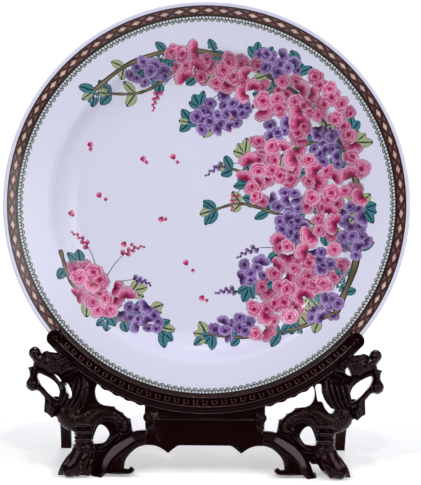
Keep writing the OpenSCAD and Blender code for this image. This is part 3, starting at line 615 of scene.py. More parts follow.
def make_lozenges():
    """Lozenges and the small darts between them, in cells round the band. In a cell u runs round the plate
    and v outwards, both from -1 to 1. A lozenge's height falls off as 1 less the size of u, and its crown
    as the product of 1 less the square of each. A dart is broad near the band's edge and narrows to a point
    inside it."""
    cell = 2 * np.pi / LOZENGES
    u, v = np.meshgrid(np.linspace(-1, 1, 7), np.linspace(-1, 1, 5))
    faces = repeated(quads(*u.shape), u.size, LOZENGES)
    n = np.arange(LOZENGES)[:, None, None]
    reach = (1 - np.abs(u)) * 0.94 + 0.06
    r = BAND_MIDDLE + v * reach * HALF_BAND * LOZENGE_HIGH
    lift = 0.06 + 0.10 * (1 - u**2) * (1 - v**2) - 0.05 * (np.abs(v) > 0.9)
    points = on_plate(round_plate(r, n * cell + u * LOZENGE_WIDE * cell), lift)
    glow = 1 - 0.45 * np.maximum(np.abs(u), np.abs(v))**2
    tint = CREAMS[(n * 7 % 11) % len(CREAMS)]
    colours = np.broadcast_to(tint * glow[None, ..., None], points.shape).reshape(-1, 3)
    parts = [(points.reshape(-1, 3), faces, colours)]
    for side in (-1, 1):
        taper = (v * side + 1) / 2
        a = (n + 0.5 + u * DART_WIDE * (1 - taper)) * cell
        points = on_plate(round_plate(BAND_MIDDLE + side * HALF_BAND * (0.86 - 0.50 * taper), a), 0.10)
        parts.append((points.reshape(-1, 3), faces, np.broadcast_to(MAUVE, (points.size // 3, 3))))
    gathered("border_lozenges", parts)


def make_lattice():
    """Two crossing lines that swing from one edge of the band to the other once a lozenge. The arcsine of a
    cosine makes each a zigzag of straight runs, and the second is half a lozenge behind the first."""
    t = np.linspace(0, 2 * np.pi, LOZENGES * 8, endpoint=False)
    lines = []
    for phase in (0, np.pi):
        swing = np.arcsin(np.cos(t * LOZENGES / 2 + phase / 2 + np.pi / 2)) / (np.pi / 2)
        path = round_plate(BAND_MIDDLE + HALF_BAND * LATTICE_HIGH * swing, t)
        lines.append(ribbon(path, 0.34, 0.11, RUSSET, True))
    gathered("border_lattice", lines)


def make_lace():
    """Scallops: each is an arch towards the middle, with a smaller arch and two stems inside. Across its
    cell an arch is half an ellipse: the square root of 1 less the square of the way from the cell's
    middle."""
    lace = []
    cell = 2 * np.pi / SCALLOPS
    t = np.linspace(0, 2 * np.pi, SCALLOPS * 14, endpoint=False)
    arch = np.sqrt(np.clip(1 - (2 * (t / cell % 1) - 1)**2, 0, 1))
    for deep, half, colour in ((3.9, 0.42, LACE_GREEN), (2.3, 0.46, LACE_PALE)):
        lace.append(ribbon(round_plate(LACE_TOP - deep * arch, t), half, 0.07, colour, True))
    # A stem is four pairs of points down from the lace's top, the second stem slanting across the first
    stem_length, stem_half, rows = 3.0, 0.36, 4
    faces = repeated(quads(rows, 2), 2 * rows, SCALLOPS)
    r = LACE_TOP - np.linspace(0, stem_length, rows)[None, :]
    for slant, colour in ((0.0, LACE_GREEN), (0.24, LACE_SHADE)):
        down = np.linspace(0, 1, rows)[None, :]
        a = (np.arange(SCALLOPS)[:, None] + 0.5) * cell + slant * cell * (down - 0.2)
        middle = round_plate(r, a)
        across = np.stack([np.cos(a), -np.sin(a)], -1)
        points = on_plate(np.stack([middle - stem_half * across, middle + stem_half * across], 2), 0.09)
        lace.append((points.reshape(-1, 3), faces, np.broadcast_to(colour, (points.size // 3, 3))))
    gathered("border_lace", lace)


# ---- Painted flowers: a spray of double blossoms up the right side, and a small one low on the left ----

# A petal's grid: across from side to side, and along from its base to its tip
PETAL_U = np.array([-1.0, -0.72, -0.38, 0.0, 0.38, 0.72, 1.0])
PETAL_V = np.array([0.0, 0.24, 0.50, 0.74, 0.91, 1.0])
GOLDEN = np.radians(137.508)

# The furthest out that a blossom's middle may lie, and the point LEAF_PROBE along a leaf, clear of the lace
BLOSSOM_REACH = 147
LEAF_REACH = 152
LEAF_PROBE = 12

# Every other blossom has leaves if it lies further out in its blob than this share
LEAFY_FROM = 0.72

# Rings of a double blossom, from the outside, as (petals, length, half width, lift)
PINK_RINGS = ((6, 8.2, 4.2, 0.0), (5, 6.0, 3.3, 0.09), (4, 3.8, 2.3, 0.18))
VIOLET_RINGS = ((5, 6.2, 3.2, 0.0), (4, 4.0, 2.2, 0.09))
STEM_STEPS = 15
BUDS_EACH = 8


def petals(centres, angles, lengths, widths, lifts, tints, shape="petal", squash=1.0, facing=0.0, slide=0.0):
    """Petals or leaves as crowned patches. Sideways a point lies at the sine of u quarter turns times the
    half width, which grows from the base, and forwards at v less a round end and a small notch. A leaf's
    tip is pointed. Squash draws a petal together along the way its blossom faces, and slide moves it that
    way."""
    count = len(centres)
    u, v = np.meshgrid(PETAL_U, PETAL_V)
    turn = np.pi / 2 * u
    if shape == "petal":
        half = 0.24 + 0.76 * np.sin(np.pi / 2 * np.minimum(v / 0.66, 1))
        along = v * (1 - 0.40 * v**2 * (1 - np.cos(turn))) - 0.07 * v**3 * np.exp(-(u / 0.3)**2)
    else:
        half = np.sin(np.pi * (0.03 + 0.97 * v)**0.9)**0.62
        along = v
    rise = (1 - u**2) * np.sin(np.pi * np.clip(v, 0.05, 0.95))
    angles, lengths, widths, lifts, squash, facing, slide = (
        np.broadcast_to(value, count)[:, None, None]
        for value in (angles, lengths, widths, lifts, squash, facing, slide))
    forward, sideways = along * lengths, np.sin(turn) * half * widths
    x = forward * np.cos(angles) - sideways * np.sin(angles)
    y = forward * np.sin(angles) + sideways * np.cos(angles)
    near = (x * np.cos(facing) + y * np.sin(facing)) * (squash - 1) + slide
    x = centres[:, 0, None, None] + x + near * np.cos(facing)
    y = centres[:, 1, None, None] + y + near * np.sin(facing)
    points = on_plate(np.stack([x, y], -1), lifts - 0.05 + 0.16 * rise)
    chance = np.broadcast_to((np.arange(count) * 0.618 % 1)[:, None, None], x.shape)
    place = np.stack([np.broadcast_to(u, x.shape), np.broadcast_to(v, x.shape), chance], -1)
    faces = repeated(quads(*u.shape), u.size, count)
    colours = np.repeat(np.broadcast_to(tints, (count, 3)), u.size, 0)
    return points.reshape(-1, 3), faces, colours, place.reshape(-1, 3)


def scatter(blobs, spacing, taken=()):
    """Middles of blossoms that fill the blobs of (x, y, half length, half width, turn), none too near
    another. A blob's spots lie on a spiral: each is turned by the golden angle from the last, and its
    distance from the middle is the square root of its share of the count, so that they fill the blob
    evenly."""
    kept = list(taken)
    found = []
    for n, (x, y, long, short, turn) in enumerate(blobs):
        count = max(3, int(np.pi * long * short / (spacing**2 * 0.62)))
        i = np.arange(count) + 0.5
        r, a, t = np.sqrt(i / count), i * GOLDEN + n, np.radians(turn)
        px, py = long * r * np.cos(a), short * r * np.sin(a)
        spots = np.stack([x + px * np.cos(t) - py * np.sin(t), y + px * np.sin(t) + py * np.cos(t)], -1)
        for spot, edge in zip(spots, r):
            if np.hypot(*spot) < BLOSSOM_REACH and all(np.hypot(*(spot - k)) > spacing * 0.80 for k in kept):
                kept.append(spot)
                found.append([*spot, edge])
    return np.array(found)


# Where the flowers are, as (x, y, half length, half width, turn), and the points of the twigs between them
PINK_BLOBS = ((88, 70, 50, 36, 125), (38, 108, 38, 21, 160), (108, 16, 42, 30, 95), (56, 34, 34, 24, 60),
              (88, -42, 38, 32, 75), (58, -88, 34, 21, 50), (-16, 122, 24, 14, 178), (-92, -74, 28, 19, 140))
VIOLET_BLOBS = ((72, -6, 15, 23, 20), (126, -20, 12, 24, 8), (12, 80, 24, 14, 20), (-54, 114, 19, 12, 12),
                (100, -90, 16, 12, 40), (26, -106, 18, 11, 10), (-56, -98, 19, 12, 170),
                (62, 124, 22, 10, 155), (104, 52, 13, 19, 40), (40, -56, 14, 10, 30), (60, 66, 12, 9, 20),
                (100, -50, 9, 13, 0))
BRANCHES = (
    ((112, -92), (128, -52), (134, -6), (120, 46), (84, 92), (34, 122), (-20, 134), (-66, 122), (-98, 98)),
    ((128, -40), (96, -16), (60, -6), (30, 2), (6, -4)),
    ((112, 62), (76, 50), (44, 30), (22, 32)),
    ((62, 106), (36, 84), (10, 70), (-14, 72)),
    ((112, -92), (78, -106), (36, -114), (2, -112)),
    ((-126, -40), (-112, -74), (-78, -98), (-40, -106)),
    ((-20, 134), (-34, 112), (-58, 98), (-84, 96)))

STEM_GREEN = (0.075, 0.085, 0.035)

# Bud stems, as (number of the pink blob that each leaves, direction in degrees)
SPRAYS = ((0, 205), (1, 200), (1, 232), (3, 172), (3, 214), (4, 168), (4, 205), (5, 150), (6, 215), (6, 170),
          (7, 62), (7, 22), (7, 100))

# Middles of the large spray and of the small one, which their outer leaves point away from
LARGE_SPRAY = (62.0, 0.0)
SMALL_SPRAY = (-82, -84)

# Where loose petals lie on the bare side
LOOSE_PETALS = ((-58, 40), (-92, 6), (-38, -10), (-104, 52), (-16, -52), (-70, -32), (-120, -8), (-28, 40),
                (-2, -78))


def blossoms(spots, rings):
    """Double blossoms from their rings, each turned and tilted its own way. A ring's petals share the full
    turn evenly. Every third blossom is seen from its side, with its petals in a fan. Painted shade darkens
    the deeper ones, which lie under others, and each blossom's outer rings more than its inner one."""
    n = np.arange(len(spots))
    size = 1 + 0.14 * np.sin(n * 2.3)
    squash, facing = 0.78 + 0.22 * np.sin(n * 1.7)**2, n * 2.4
    fan = n % 3 == 1
    layer = n * 5 % 7
    # Painted shade: the lower a blossom lies in the stack, under others, the darker its petals
    shade = (0.66 + 0.055 * layer)[:, None] * np.ones(3)
    parts = []
    for level, (count, length, half, lift) in enumerate(rings):
        for k in range(count):
            wobble = 0.12 * np.sin(n * 5.1 + k * 2.9)
            fanned = facing + (k - (count - 1) / 2) * (2.7 - 0.5 * level) / count
            angle = np.where(fan, fanned, n * 1.9 + level * 0.6 + 2 * np.pi * k / count) + wobble
            longer = np.where(fan, 1.25, 1.0) * (1 + wobble) * size
            raised = 0.03 + 0.045 * layer + lift + 0.007 * (k * 3 % count)
            # Painted shade also darkens a blossom's outer rings, which lie under its inner ones
            parts.append(petals(spots[:, :2], angle, length * longer, half * size, raised,
                                shade * (0.92 + 0.08 * level - 0.5 * np.abs(wobble[:, None])),
                                squash=np.where(fan, 1, squash), facing=facing,
                                slide=-3.0 * np.where(fan, 1.1 / (level + 1), level * (1 - squash))))
    return parts


def sprays(starts, tint_stem):
    """Thin stems that arch out of a blob in a direction and nod at the end, with buds on alternate sides. A
    stem bends by 0.9 radians times the share of its length to the power 1.5, and its path is the sum of its
    steps."""
    stems, buds = [], []
    for n, (blob, direction) in enumerate(starts):
        x, y, long, short, turn = PINK_BLOBS[blob]
        t = np.linspace(0, 1, STEM_STEPS + 1)
        a = np.radians(direction) + (0.9 if np.cos(np.radians(direction)) < 0 else -0.9) * t**1.5
        edge = np.radians(direction - turn)
        reach = 0.60 / np.hypot(np.cos(edge) / long, np.sin(edge) / short)
        first = np.array([x, y]) + reach * np.array([np.cos(a[0]), np.sin(a[0])])
        step = (36.0 + 5.0 * np.sin(n * 2.7)) / STEM_STEPS
        path = first + np.cumsum(np.stack([np.cos(a), np.sin(a)], -1) * step, 0)
        stems.append(ribbon(path, 0.45 * (1 - 0.6 * t), 0.10, tint_stem))
        for k in range(BUDS_EACH):
            at = STEM_STEPS - k
            way = 1 if k % 2 else -1
            buds.append([*path[at], a[at] + way * (0.35 + 0.07 * k), 2.8 + 0.42 * k, n])
    return stems, np.array(buds)


def gathered_petals(name, parts, material):
    """One piece from petals, with the place within each petal kept as an attribute."""
    obj = gathered(name, [p[:3] for p in parts], material)
    place = np.vstack([p[3] for p in parts]).astype(np.float32)
    obj.data.attributes.new("place", "FLOAT_VECTOR", "POINT").data.foreach_set("vector", place.ravel())
    return obj


def make_blossoms():
    """Violet blossoms, and pink ones in the places that they leave free. Returns where both are."""
    violet = scatter(VIOLET_BLOBS, 7.4)
    pink = scatter(PINK_BLOBS, 9.6, violet[:, :2])
    gathered_petals("pink_blossoms", blossoms(pink, PINK_RINGS), PINK)
    gathered_petals("violet_blossoms", blossoms(violet, VIOLET_RINGS), VIOLET)
    return pink, violet


def make_leaves(pink, violet):
    """Leaves in threes round the flowers, pointing away from the spray's middle, and along the twigs. About
    a third of them are sage and the rest are teal. Each is gathered as (x, y, direction, which of
    three)."""
    rows = []
    for n, (x, y, edge) in enumerate(np.vstack([pink, violet])):
        if edge > LEAFY_FROM and n % 2 == 0:
            spray = LARGE_SPRAY if x > -30 else SMALL_SPRAY
            away = np.arctan2(y - spray[1], x - spray[0])
            # Along the top they point to the left or down instead
            if y > 95 and x < 30:
                away = np.pi if n % 4 else -np.pi / 2
            foot = (x + 5 * np.cos(away), y + 5 * np.sin(away))
            rows += [(*foot, away + bend + 0.25 * np.sin(n), n % 3) for bend in (-0.75, -0.05, 0.65)]
    for i, route in enumerate(BRANCHES):
        path = smooth(route, 6)
        ahead = np.gradient(path, axis=0)
        for k in range(3, len(path), 5):
            a = np.arctan2(ahead[k, 1], ahead[k, 0])
            rows += [(*path[k], a + bend, (i + k) % 3) for bend in (-0.9, 0.8)]
        a = np.arctan2(ahead[-1, 1], ahead[-1, 0])
        rows += [(*path[-1], a + bend, k % 3) for k, bend in enumerate((-0.8, 0.0, 0.75))]
    rows = np.array([(x, y, a, which) for x, y, a, which in rows
                     if np.hypot(x + LEAF_PROBE * np.cos(a), y + LEAF_PROBE * np.sin(a)) < LEAF_REACH])
    n = np.arange(len(rows))
    length, width = 13.0 + 2.2 * np.sin(n * 1.9), 4.5 + 0.5 * np.cos(n * 2.7)
    green_for_sage = np.where((rows[:, 3] == 1)[:, None], [0.0, 1.0, 0.0], [1.0, 0.0, 0.0])
    tints = green_for_sage * (0.8 + 0.2 * np.sin(n * 2.2))[:, None]
    leaves = petals(rows[:, :2], rows[:, 2], length, width, 0.01 + 0.012 * (n % 3), tints, "leaf")
    gathered_petals("leaves", [leaves], LEAF)


def make_branches():
    """Twigs that taper by two fifths along their length and swell a little in a sine, each on a wider dark
    line that shows as its outline."""
    bark = np.array([0.215, 0.175, 0.085])
    line = np.array([0.030, 0.022, 0.016])
    parts = []
    for i, route in enumerate(BRANCHES):
        path = smooth(route, 14)
        t = np.linspace(0, 1, len(path))
        half = (2.7 if i == 0 else 1.5) * (1 - 0.42 * t) * (1 + 0.16 * np.sin(t * 60 + i))
        shade = (0.72 + 0.28 * np.sin(t * 47 + i)[:, None]) * bark
        parts.append(ribbon(path, half + 0.32, 0.12, line))
        parts.append(ribbon(path, half * 0.86, 0.17, shade))
    gathered("branches", parts)


def make_sprays():
    """The bud stems, and the buds of every other stem in pink and of the rest in violet."""
    stems, buds = sprays(SPRAYS, STEM_GREEN)
    gathered("bud_stems", stems)
    pinkish = buds[:, 4] % 2 == 0
    kinds = (("pink_buds", buds[pinkish], PINK), ("violet_buds", buds[~pinkish], VIOLET))
    for name, some, material in kinds:
        n = np.arange(len(some))
        shade = (0.78 + 0.14 * np.sin(n * 2.0))[:, None] * np.ones(3)
        shapes = petals(some[:, :2], some[:, 2], some[:, 3], some[:, 3] * 0.40, 0.06, shade)
        gathered_petals(name, [shapes], material)


def make_fallen_petals():
    """A few loose petals drift on the bare side, a large and a small one together."""
    at = np.array(LOOSE_PETALS, float)
    n = np.arange(len(at))
    large = petals(at, n * 2.1, 5.6, 2.9, 0.03, (0.92, 0.92, 0.92))
    small = petals(at + (4, -3), n * 1.3, 3.6, 1.9, 0.03, (0.85, 0.85, 0.85))
    gathered_petals("fallen_petals", [large, small], PINK)


make_plate()
make_border_ground()
make_lozenges()
make_lattice()
make_lace()
make_leaves(*make_blossoms())
make_branches()
make_sprays()
make_fallen_petals()


# ---- Stand ----

def softened(node, material, body="stand", width=0.35):
    """A copy of a CAD node with its edges eased by the width, as sanding and lacquer leave them."""
    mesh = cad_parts[node].data.copy()
    mesh.name = node + "_wood"
    if "custom_normal" in mesh.attributes:
        mesh.attributes.remove(mesh.attributes["custom_normal"])
    tidy(mesh, 0.001)
    obj = add_piece(mesh, material, body, 35, [node])
    ease = obj.modifiers.new("ease", "BEVEL")
    ease.width = width * MM
    ease.segments = 2
    ease.limit_method = "ANGLE"
    ease.angle_limit = np.radians(32)
    done = finish_modifiers(obj)
    done.shade_smooth()
    done.set_sharp_from_angle(angle=np.radians(50))


softened("front_rail", RAIL_WOOD, width=0.5)
softened("apron_panel", BLACK_WOOD)
softened("back_rail_upper", RED_WOOD)
softened("back_rail_lower", RED_WOOD)
for side in ("left", "right"):
    softened("upright_" + side, RED_WOOD_UP)
    softened("hinge_block_" + side, RED_WOOD)
    softened("rear_leg_" + side, RED_WOOD_UP, "rear_leg_" + side)


# ---- Carving: strands are drawn in (x, h) for the right-hand side, and mirrored for the left ----

# Rings that round off a strand's end, from the tip, as (reach in half widths, share of the size)
STRAND_END = np.array([(0.36, 0.04), (0.30, 0.45), (0.18, 0.80)])

# A ball's rings from its foot to its top, as (height in radii, share of the radius)
BALL_RINGS = ((-0.92, 0.39), (-0.6, 0.8), (0, 1), (0.6, 0.8), (0.92, 0.39))


def strand(rows, steps=6, sides=16, kind="plain"):
    """A rounded flat tube through rows of [x, h, half width, half depth, y], with its line and sizes kept.
    Round the line a ring is an ellipse: the cosine times the half width sideways, and the sine times the
    half depth forwards. Smaller rings round off both ends, and a point closes each."""
    line = smooth(rows, steps)
    ahead = np.gradient(line[:, :2], axis=0)
    ahead /= np.linalg.norm(ahead, axis=1, keepdims=True)
    side = np.stack([-ahead[:, 1], ahead[:, 0]], -1)
    ends = []
    for k, way in ((0, -1), (-1, 1)):
        tips = np.tile(line[k], (len(STRAND_END), 1))
        tips[:, :2] += ahead[k] * way * STRAND_END[:, :1] * line[k, 2]
        tips[:, 2:4] *= STRAND_END[:, 1:]
        ends.append(tips[::-way])
    full = np.vstack([ends[0], line, ends[1]])
    across = np.pad(side, ((len(STRAND_END), len(STRAND_END)), (0, 0)), "edge")
    f = 2 * np.pi * (np.arange(sides) + 0.5) / sides
    wide, deep = full[:, 2:3] * np.cos(f), full[:, 3:4] * np.sin(f)
    rings = np.stack([full[:, :1] + across[:, :1] * wide, full[:, 4:5] - deep,
                      full[:, 1:2] + across[:, 1:2] * wide], -1)
    closed = np.repeat(full[[0, -1]][:, None, [0, 4, 1]], sides, 1)
    points = np.concatenate([closed[:1], rings, closed[1:]])
    faces = quads(len(points), sides, wrap_cols=True)
    return {"points": points.reshape(-1, 3), "faces": halves(faces), "line": line, "kind": kind}


def claw(rows):
    """A round tapering finger through rows of [x, h, y, radius]."""
    return strand([[x, h, r, r, y] for x, h, y, r in rows], steps=5, sides=12)


def ball(x, h, r, y, deep):
    """A ball of radius r, flattened to the depth given: a strand whose rings follow a circle."""
    return strand([[x, h + r * up, r * size, deep * size, y] for up, size in BALL_RINGS], steps=3)


def loop(points):
    """A smooth closed outline through the points: the curve runs on past both ends and is cut there."""
    steps = 4
    p = np.asarray(points, float)
    around = np.vstack([p[-2:], p, p[:2]])
    return smooth(around, steps)[2 * steps:(2 + len(p)) * steps]


def board(outlines, front, back):
    """A board from outlines in (x, h), filled between them and drawn out straight from its front to its
    back: the first outline is the edge and the others are holes."""
    curve = bpy.data.curves.new("board", "CURVE")
    curve.dimensions = "2D"
    curve.fill_mode = "BOTH"
    curve.extrude = (back - front) / 2 * MM
    for outline in outlines:
        spline = curve.splines.new("POLY")
        spline.points.add(len(outline) - 1)
        spline.use_cyclic_u = True
        places = np.tile([0.0, 0.0, 0.0, 1.0], (len(outline), 1))
        places[:, :2] = np.asarray(outline) * MM
        spline.points.foreach_set("co", places.astype(np.float32).ravel())
    obj = bpy.data.objects.new("board", curve)
    bpy.context.scene.collection.objects.link(obj)
    bpy.context.view_layer.update()
    mesh = bpy.data.meshes.new_from_object(obj.evaluated_get(bpy.context.evaluated_depsgraph_get()))
    bpy.data.objects.remove(obj)
    tidy(mesh, 0.001)
    mesh.calc_loop_triangles()
    faces = np.empty(len(mesh.loop_triangles) * 3, np.int32)
    mesh.loop_triangles.foreach_get("vertices", faces)
    p = points_of(mesh)
    points = np.stack([p[:, 0], (front + back) / 2 - p[:, 2], p[:, 1]], -1)
    return {"points": points, "faces": faces.reshape(-1, 3), "line": None, "kind": "plain"}


def joined(parts, name):
    """One mesh from the parts, still in the frame's leaning axes."""
    return new_mesh(name, *stacked([(part["points"], part["faces"]) for part in parts]))


def fused(name, parts, voxel, cuts):
    """Melts overlapping closed shapes into one skin, takes the cuts out of it and rubs its edges down."""
    obj = bpy.data.objects.new(name, joined(parts, name))
    bpy.context.scene.collection.objects.link(obj)
    melt = obj.modifiers.new("melt", "REMESH")
    melt.mode = "VOXEL"
    melt.voxel_size = voxel * MM
    knife = bpy.data.objects.new("knife", joined(cuts, "knife"))
    bpy.context.scene.collection.objects.link(knife)
    pierce = obj.modifiers.new("pierce", "BOOLEAN")
    pierce.operation = "DIFFERENCE"
    pierce.solver = "EXACT"
    pierce.object = knife
    rub = obj.modifiers.new("rub", "SMOOTH")
    rub.factor = 0.5
    rub.iterations = 2
    mesh = finish_modifiers(obj)
    bpy.data.objects.remove(obj)
    bpy.data.objects.remove(knife)
    return mesh


# The carving's pitches: scales along and across a body, hairs across a lock, rings along a shin
SCALE_PITCH, SCALE_WIDE = 3.7, 3.8
HAIR_PITCH = 2.2
RING_PITCH = 3.2

# Strands further than this from a point aren't asked
SEARCH_MARGIN = 14


def nearest_strand(points, parts):
    """For each point, the strand whose skin is nearest: the gap to that skin, the place as (along, across,
    round, whole length) in millimetres, and the strand's kind. The nearest point of a line is found by
    projecting on each of its runs, and the skin is where width and depth, each over its half size, make a
    circle of radius 1."""
    best = np.full(len(points), 1e9)
    out = np.zeros((len(points), 4))
    kinds = np.full(len(points), "plain", dtype=object)
    xh, y = points[:, [0, 2]], points[:, 1]
    for part in parts:
        line = part["line"]
        if line is None:
            continue
        low, high = line[:, :2].min(0) - SEARCH_MARGIN, line[:, :2].max(0) + SEARCH_MARGIN
        near = np.flatnonzero(np.all((xh > low) & (xh < high), axis=1))
        if not len(near):
            continue
        a, step = line[:-1, :2], np.diff(line[:, :2], axis=0)
        length = np.linalg.norm(step, axis=1)
        done = np.concatenate([[0], np.cumsum(length)])
        gap = xh[near, None] - a[None]
        t = np.clip((gap * step).sum(-1) / length**2, 0, 1)
        away = np.linalg.norm(gap - t[..., None] * step, axis=-1)
        k = away.argmin(1)
        rows = np.arange(len(near))
        t, gap = t[rows, k], gap[rows, k]
        size = line[k] + (line[k + 1] - line[k]) * t[:, None]
        across = (step[k, 0] * gap[:, 1] - step[k, 1] * gap[:, 0]) / length[k]
        depth = (size[:, 4] - y[near]) / size[:, 3]
        skin = np.abs(np.hypot(away[rows, k] / size[:, 2], depth) - 1) * size[:, 2]
        wins = skin < best[near]
        chosen = near[wins]
        best[chosen] = skin[wins]
        round_it = np.arctan2(depth, across / size[:, 2]) * (size[:, 2] + size[:, 3]) / 2
        places = np.stack([done[k] + t * length[k], across, round_it, np.full(len(near), done[-1])], -1)
        out[chosen] = places[wins]
        kinds[chosen] = part["kind"]
    return best, out, kinds


def scales(along, across):
    """Overlapping scales: two staggered lattices of tilted discs, whichever is higher. A disc is where 1
    less the squares of the ways from its middle, each over its radius, is above zero, and it rises along
    the body."""
    top = np.full(len(along), -1.0)
    for shift in (0, 0.5):
        a = (along / SCALE_PITCH + shift) % 1
        b = (across / SCALE_WIDE + shift) % 1 - 0.5
        disc = 1 - ((a - 0.42) / 0.62)**2 - (b / 0.56)**2
        top = np.maximum(top, np.where(disc > 0, 0.25 + 0.75 * a * np.clip(disc * 4, 0, 1), 0))
    return top


def carve(points, normals, parts):
    """Scales on the bodies, hair on the locks and rings on the shins, cut into the skin along its normals.
    Hairs are grooves at the cube of a cosine across a lock, and rings a cosine along the shin. The relief
    fades away from the strands' skins and towards the back."""
    gap, place, kinds = nearest_strand(points, parts)
    fade = np.clip(1.6 - gap, 0, 1) * np.clip((9 - points[:, 1]) / 3, 0, 1)
    ends = np.clip(np.minimum(place[:, 0], place[:, 3] - place[:, 0]) / 2, 0, 1)
    push = np.zeros(len(points))
    scaly, hairy, ringed = kinds == "scale", kinds == "hair", kinds == "ring"
    push[scaly] = 1.25 * scales(place[scaly, 0], place[scaly, 2]) - 0.55
    push[hairy] = -0.9 * np.abs(np.cos(np.pi * place[hairy, 1] / HAIR_PITCH))**3 * ends[hairy]
    push[ringed] = 0.85 * np.cos(2 * np.pi * place[ringed, 0] / RING_PITCH)
    return points + normals * (push * fade)[:, None]


# What the right-hand wing is made of, as strands' rows
WING = dict(
    skull=[[113, 90, 5, 5, 2], [122, 91.5, 9.4, 10, 1], [130, 92.6, 10.4, 11, 0], [137, 93.2, 9, 9.5, 0],
           [142.6, 91.4, 5.4, 7, 0.5], [146.6, 88.4, 2.4, 4, 1]],
    snout=[[136, 97.5, 3.4, 6, -3], [141, 95.6, 4, 7, -3], [144.6, 98, 3.6, 7, -2],
           [146.4, 102, 4.4, 7, -1.5]],
    lip=[[124, 99, 2.4, 3, -7], [130, 99.8, 3.2, 4.4, -8], [136, 101.8, 2.2, 3.4, -7],
         [139, 102, 0.8, 2, -5]],
    brow=[[118, 99.5, 2.6, 4, -2], [122, 96.5, 2.8, 4.4, -6], [128, 95, 2.4, 3.4, -9], [133, 96, 1, 2, -9]],
    pearl_stem=[[145.8, 89.4, 2.6, 5, 0], [147.2, 86, 3, 5, 0], [147.8, 80.6, 2.6, 5, 0],
                [147.6, 76, 3.6, 5, 0]],
    thorn=[[147, 89, 2, 3, -2], [151.6, 89.2, 0.5, 1.5, -2]],
    jaw=[[145, 73, 2.6, 5, 0], [140.6, 71.4, 2.6, 6, 0], [136, 66.4, 2.6, 6.5, 0], [130.6, 61.8, 2.6, 7, 0],
         [125.6, 59.4, 3, 8, 0], [121.6, 63.8, 3, 8, 0], [121, 71.6, 2.9, 8, 0], [123.4, 77.6, 2.4, 8, 0],
         [128, 82, 2, 7, 0]],
    body=[[106, 76, 6, 6, 3], [107.6, 68, 6.4, 7, 2], [113, 58.6, 8, 9, 1], [118, 50.6, 9, 10, 1],
          [113, 44.6, 8.6, 10, 1], [104, 45.6, 8.6, 10, 1], [96, 51, 7, 9, 1], [88, 53.6, 3.9, 7, 0],
          [80, 51.8, 3.4, 6.6, -1], [73, 47.4, 3.2, 6.6, -1], [68.4, 42, 3.4, 7, -1],
          [68.8, 37.6, 2.6, 6, -1], [73, 37.4, 1.6, 5, -2]],
    tail=[[72.8, 43, 1.4, 4, -3], [78.6, 47.6, 2.2, 5, -4], [86, 48.6, 2.4, 5.4, -4],
          [92, 45.6, 2.4, 5.4, -4], [96, 40, 2.2, 5, -3], [97.6, 33, 1.6, 4.6, -3]],
    vine=[[74, 33.6, 2.2, 5, 0], [78.6, 30.6, 3.2, 6, 0], [84, 24.6, 2.6, 6, 0], [91, 21.6, 2.6, 6, 0]],
    shin=[[103.6, 46, 8, 9, 1], [103.4, 36, 7.4, 9.4, 0], [103.6, 27, 7.4, 10, -1],
          [103.6, 19, 9.4, 11, -2]],
    foot=[[103.6, 19, 9.4, 11, -2], [107, 10.6, 9.9, 12.4, -4], [112.6, 5, 8.4, 11.6, -5],
          [119, 0.6, 5.4, 9, -5]],
)

# How a strand of the wing is carved, where it isn't plain
CARVED = dict(body="scale", tail="scale", shin="ring", lip="hair", brow="hair")

# Round forms, as (x, h, radius, y, depth): the snout's curl, the pearl, the eye, the nostril, a boss on the
# body, and two beads
BALLS = ((146, 102, 5.4, -1, 8), (147.6, 75.4, 5.8, -1, 8.5), (132.2, 92.6, 2.6, -10, 2.8),
         (144.6, 92.4, 2.5, -5, 3.2), (109.6, 51, 5, -1, 6), (131.2, 61.2, 1.5, -8.6, 2.4),
         (131.4, 57.4, 1.5, -8.6, 2.4))

# Three locks of the beard, then two that sweep back from the head
LOCKS = ([[136, 67, 1.6, 4, 0], [135.6, 60.4, 1.9, 5, -1], [136.8, 52.4, 0.8, 3, 0]],
         [[132.2, 63.4, 2.2, 5, 0], [132.8, 57, 2.2, 6, -2], [133.8, 51, 0.9, 3, 0]],
         [[128.4, 61.6, 2.6, 6, 0], [129.6, 54.6, 2.4, 6, -2], [130.8, 47.6, 0.9, 3, 0]],
         [[107, 93, 1, 3, 0], [112, 96, 2.2, 5, -3], [119, 95, 2.4, 6, -6], [125, 91, 1, 3, -8]],
         [[106, 88, 1, 3, 0], [112, 89.6, 2.2, 5, -3], [119, 88, 2.4, 6, -6], [124, 84, 1, 3, -6]])

# The paw's toes and its spur, as claws' rows. The left wing's paw has one toe more, on its inside
TOES = ([[112.6, 12, -8, 4.6], [117.6, 6.4, -9.4, 4.4], [122, 0.6, -8, 2.8]],
        [[108, 10, -9.6, 4.8], [112.6, 4.4, -12.2, 4.4], [116.6, -1, -11.4, 3]],
        [[103, 10.6, -9.6, 4.6], [106.4, 4.8, -12, 4.2], [109.2, -1, -11.6, 2.9]],
        [[99, 20.6, -6, 2.6], [94.4, 17.6, -7, 2]])
INNER_TOE = [[97.4, 12.4, -7.6, 4.2], [98.8, 5, -9.6, 4.2], [100, -1, -9.6, 3]]

# Openings through both wings: the mouth, and the crook between the tail and the leg
MOUTH = [[142.8, 84.6], [138, 83.2], [131.4, 79.6], [126.6, 75], [124.6, 70], [124.4, 65], [126.6, 62.2],
         [130.4, 64.4], [134.6, 67.8], [139.2, 73], [143.2, 80.4]]
CROOK = [[89, 41.4], [85, 39.4], [81.8, 34.6], [82.2, 29.6], [85.6, 26.4], [91, 25.2], [95, 25.4],
         [95.6, 28.4], [93.8, 34.4], [91.6, 39.4]]

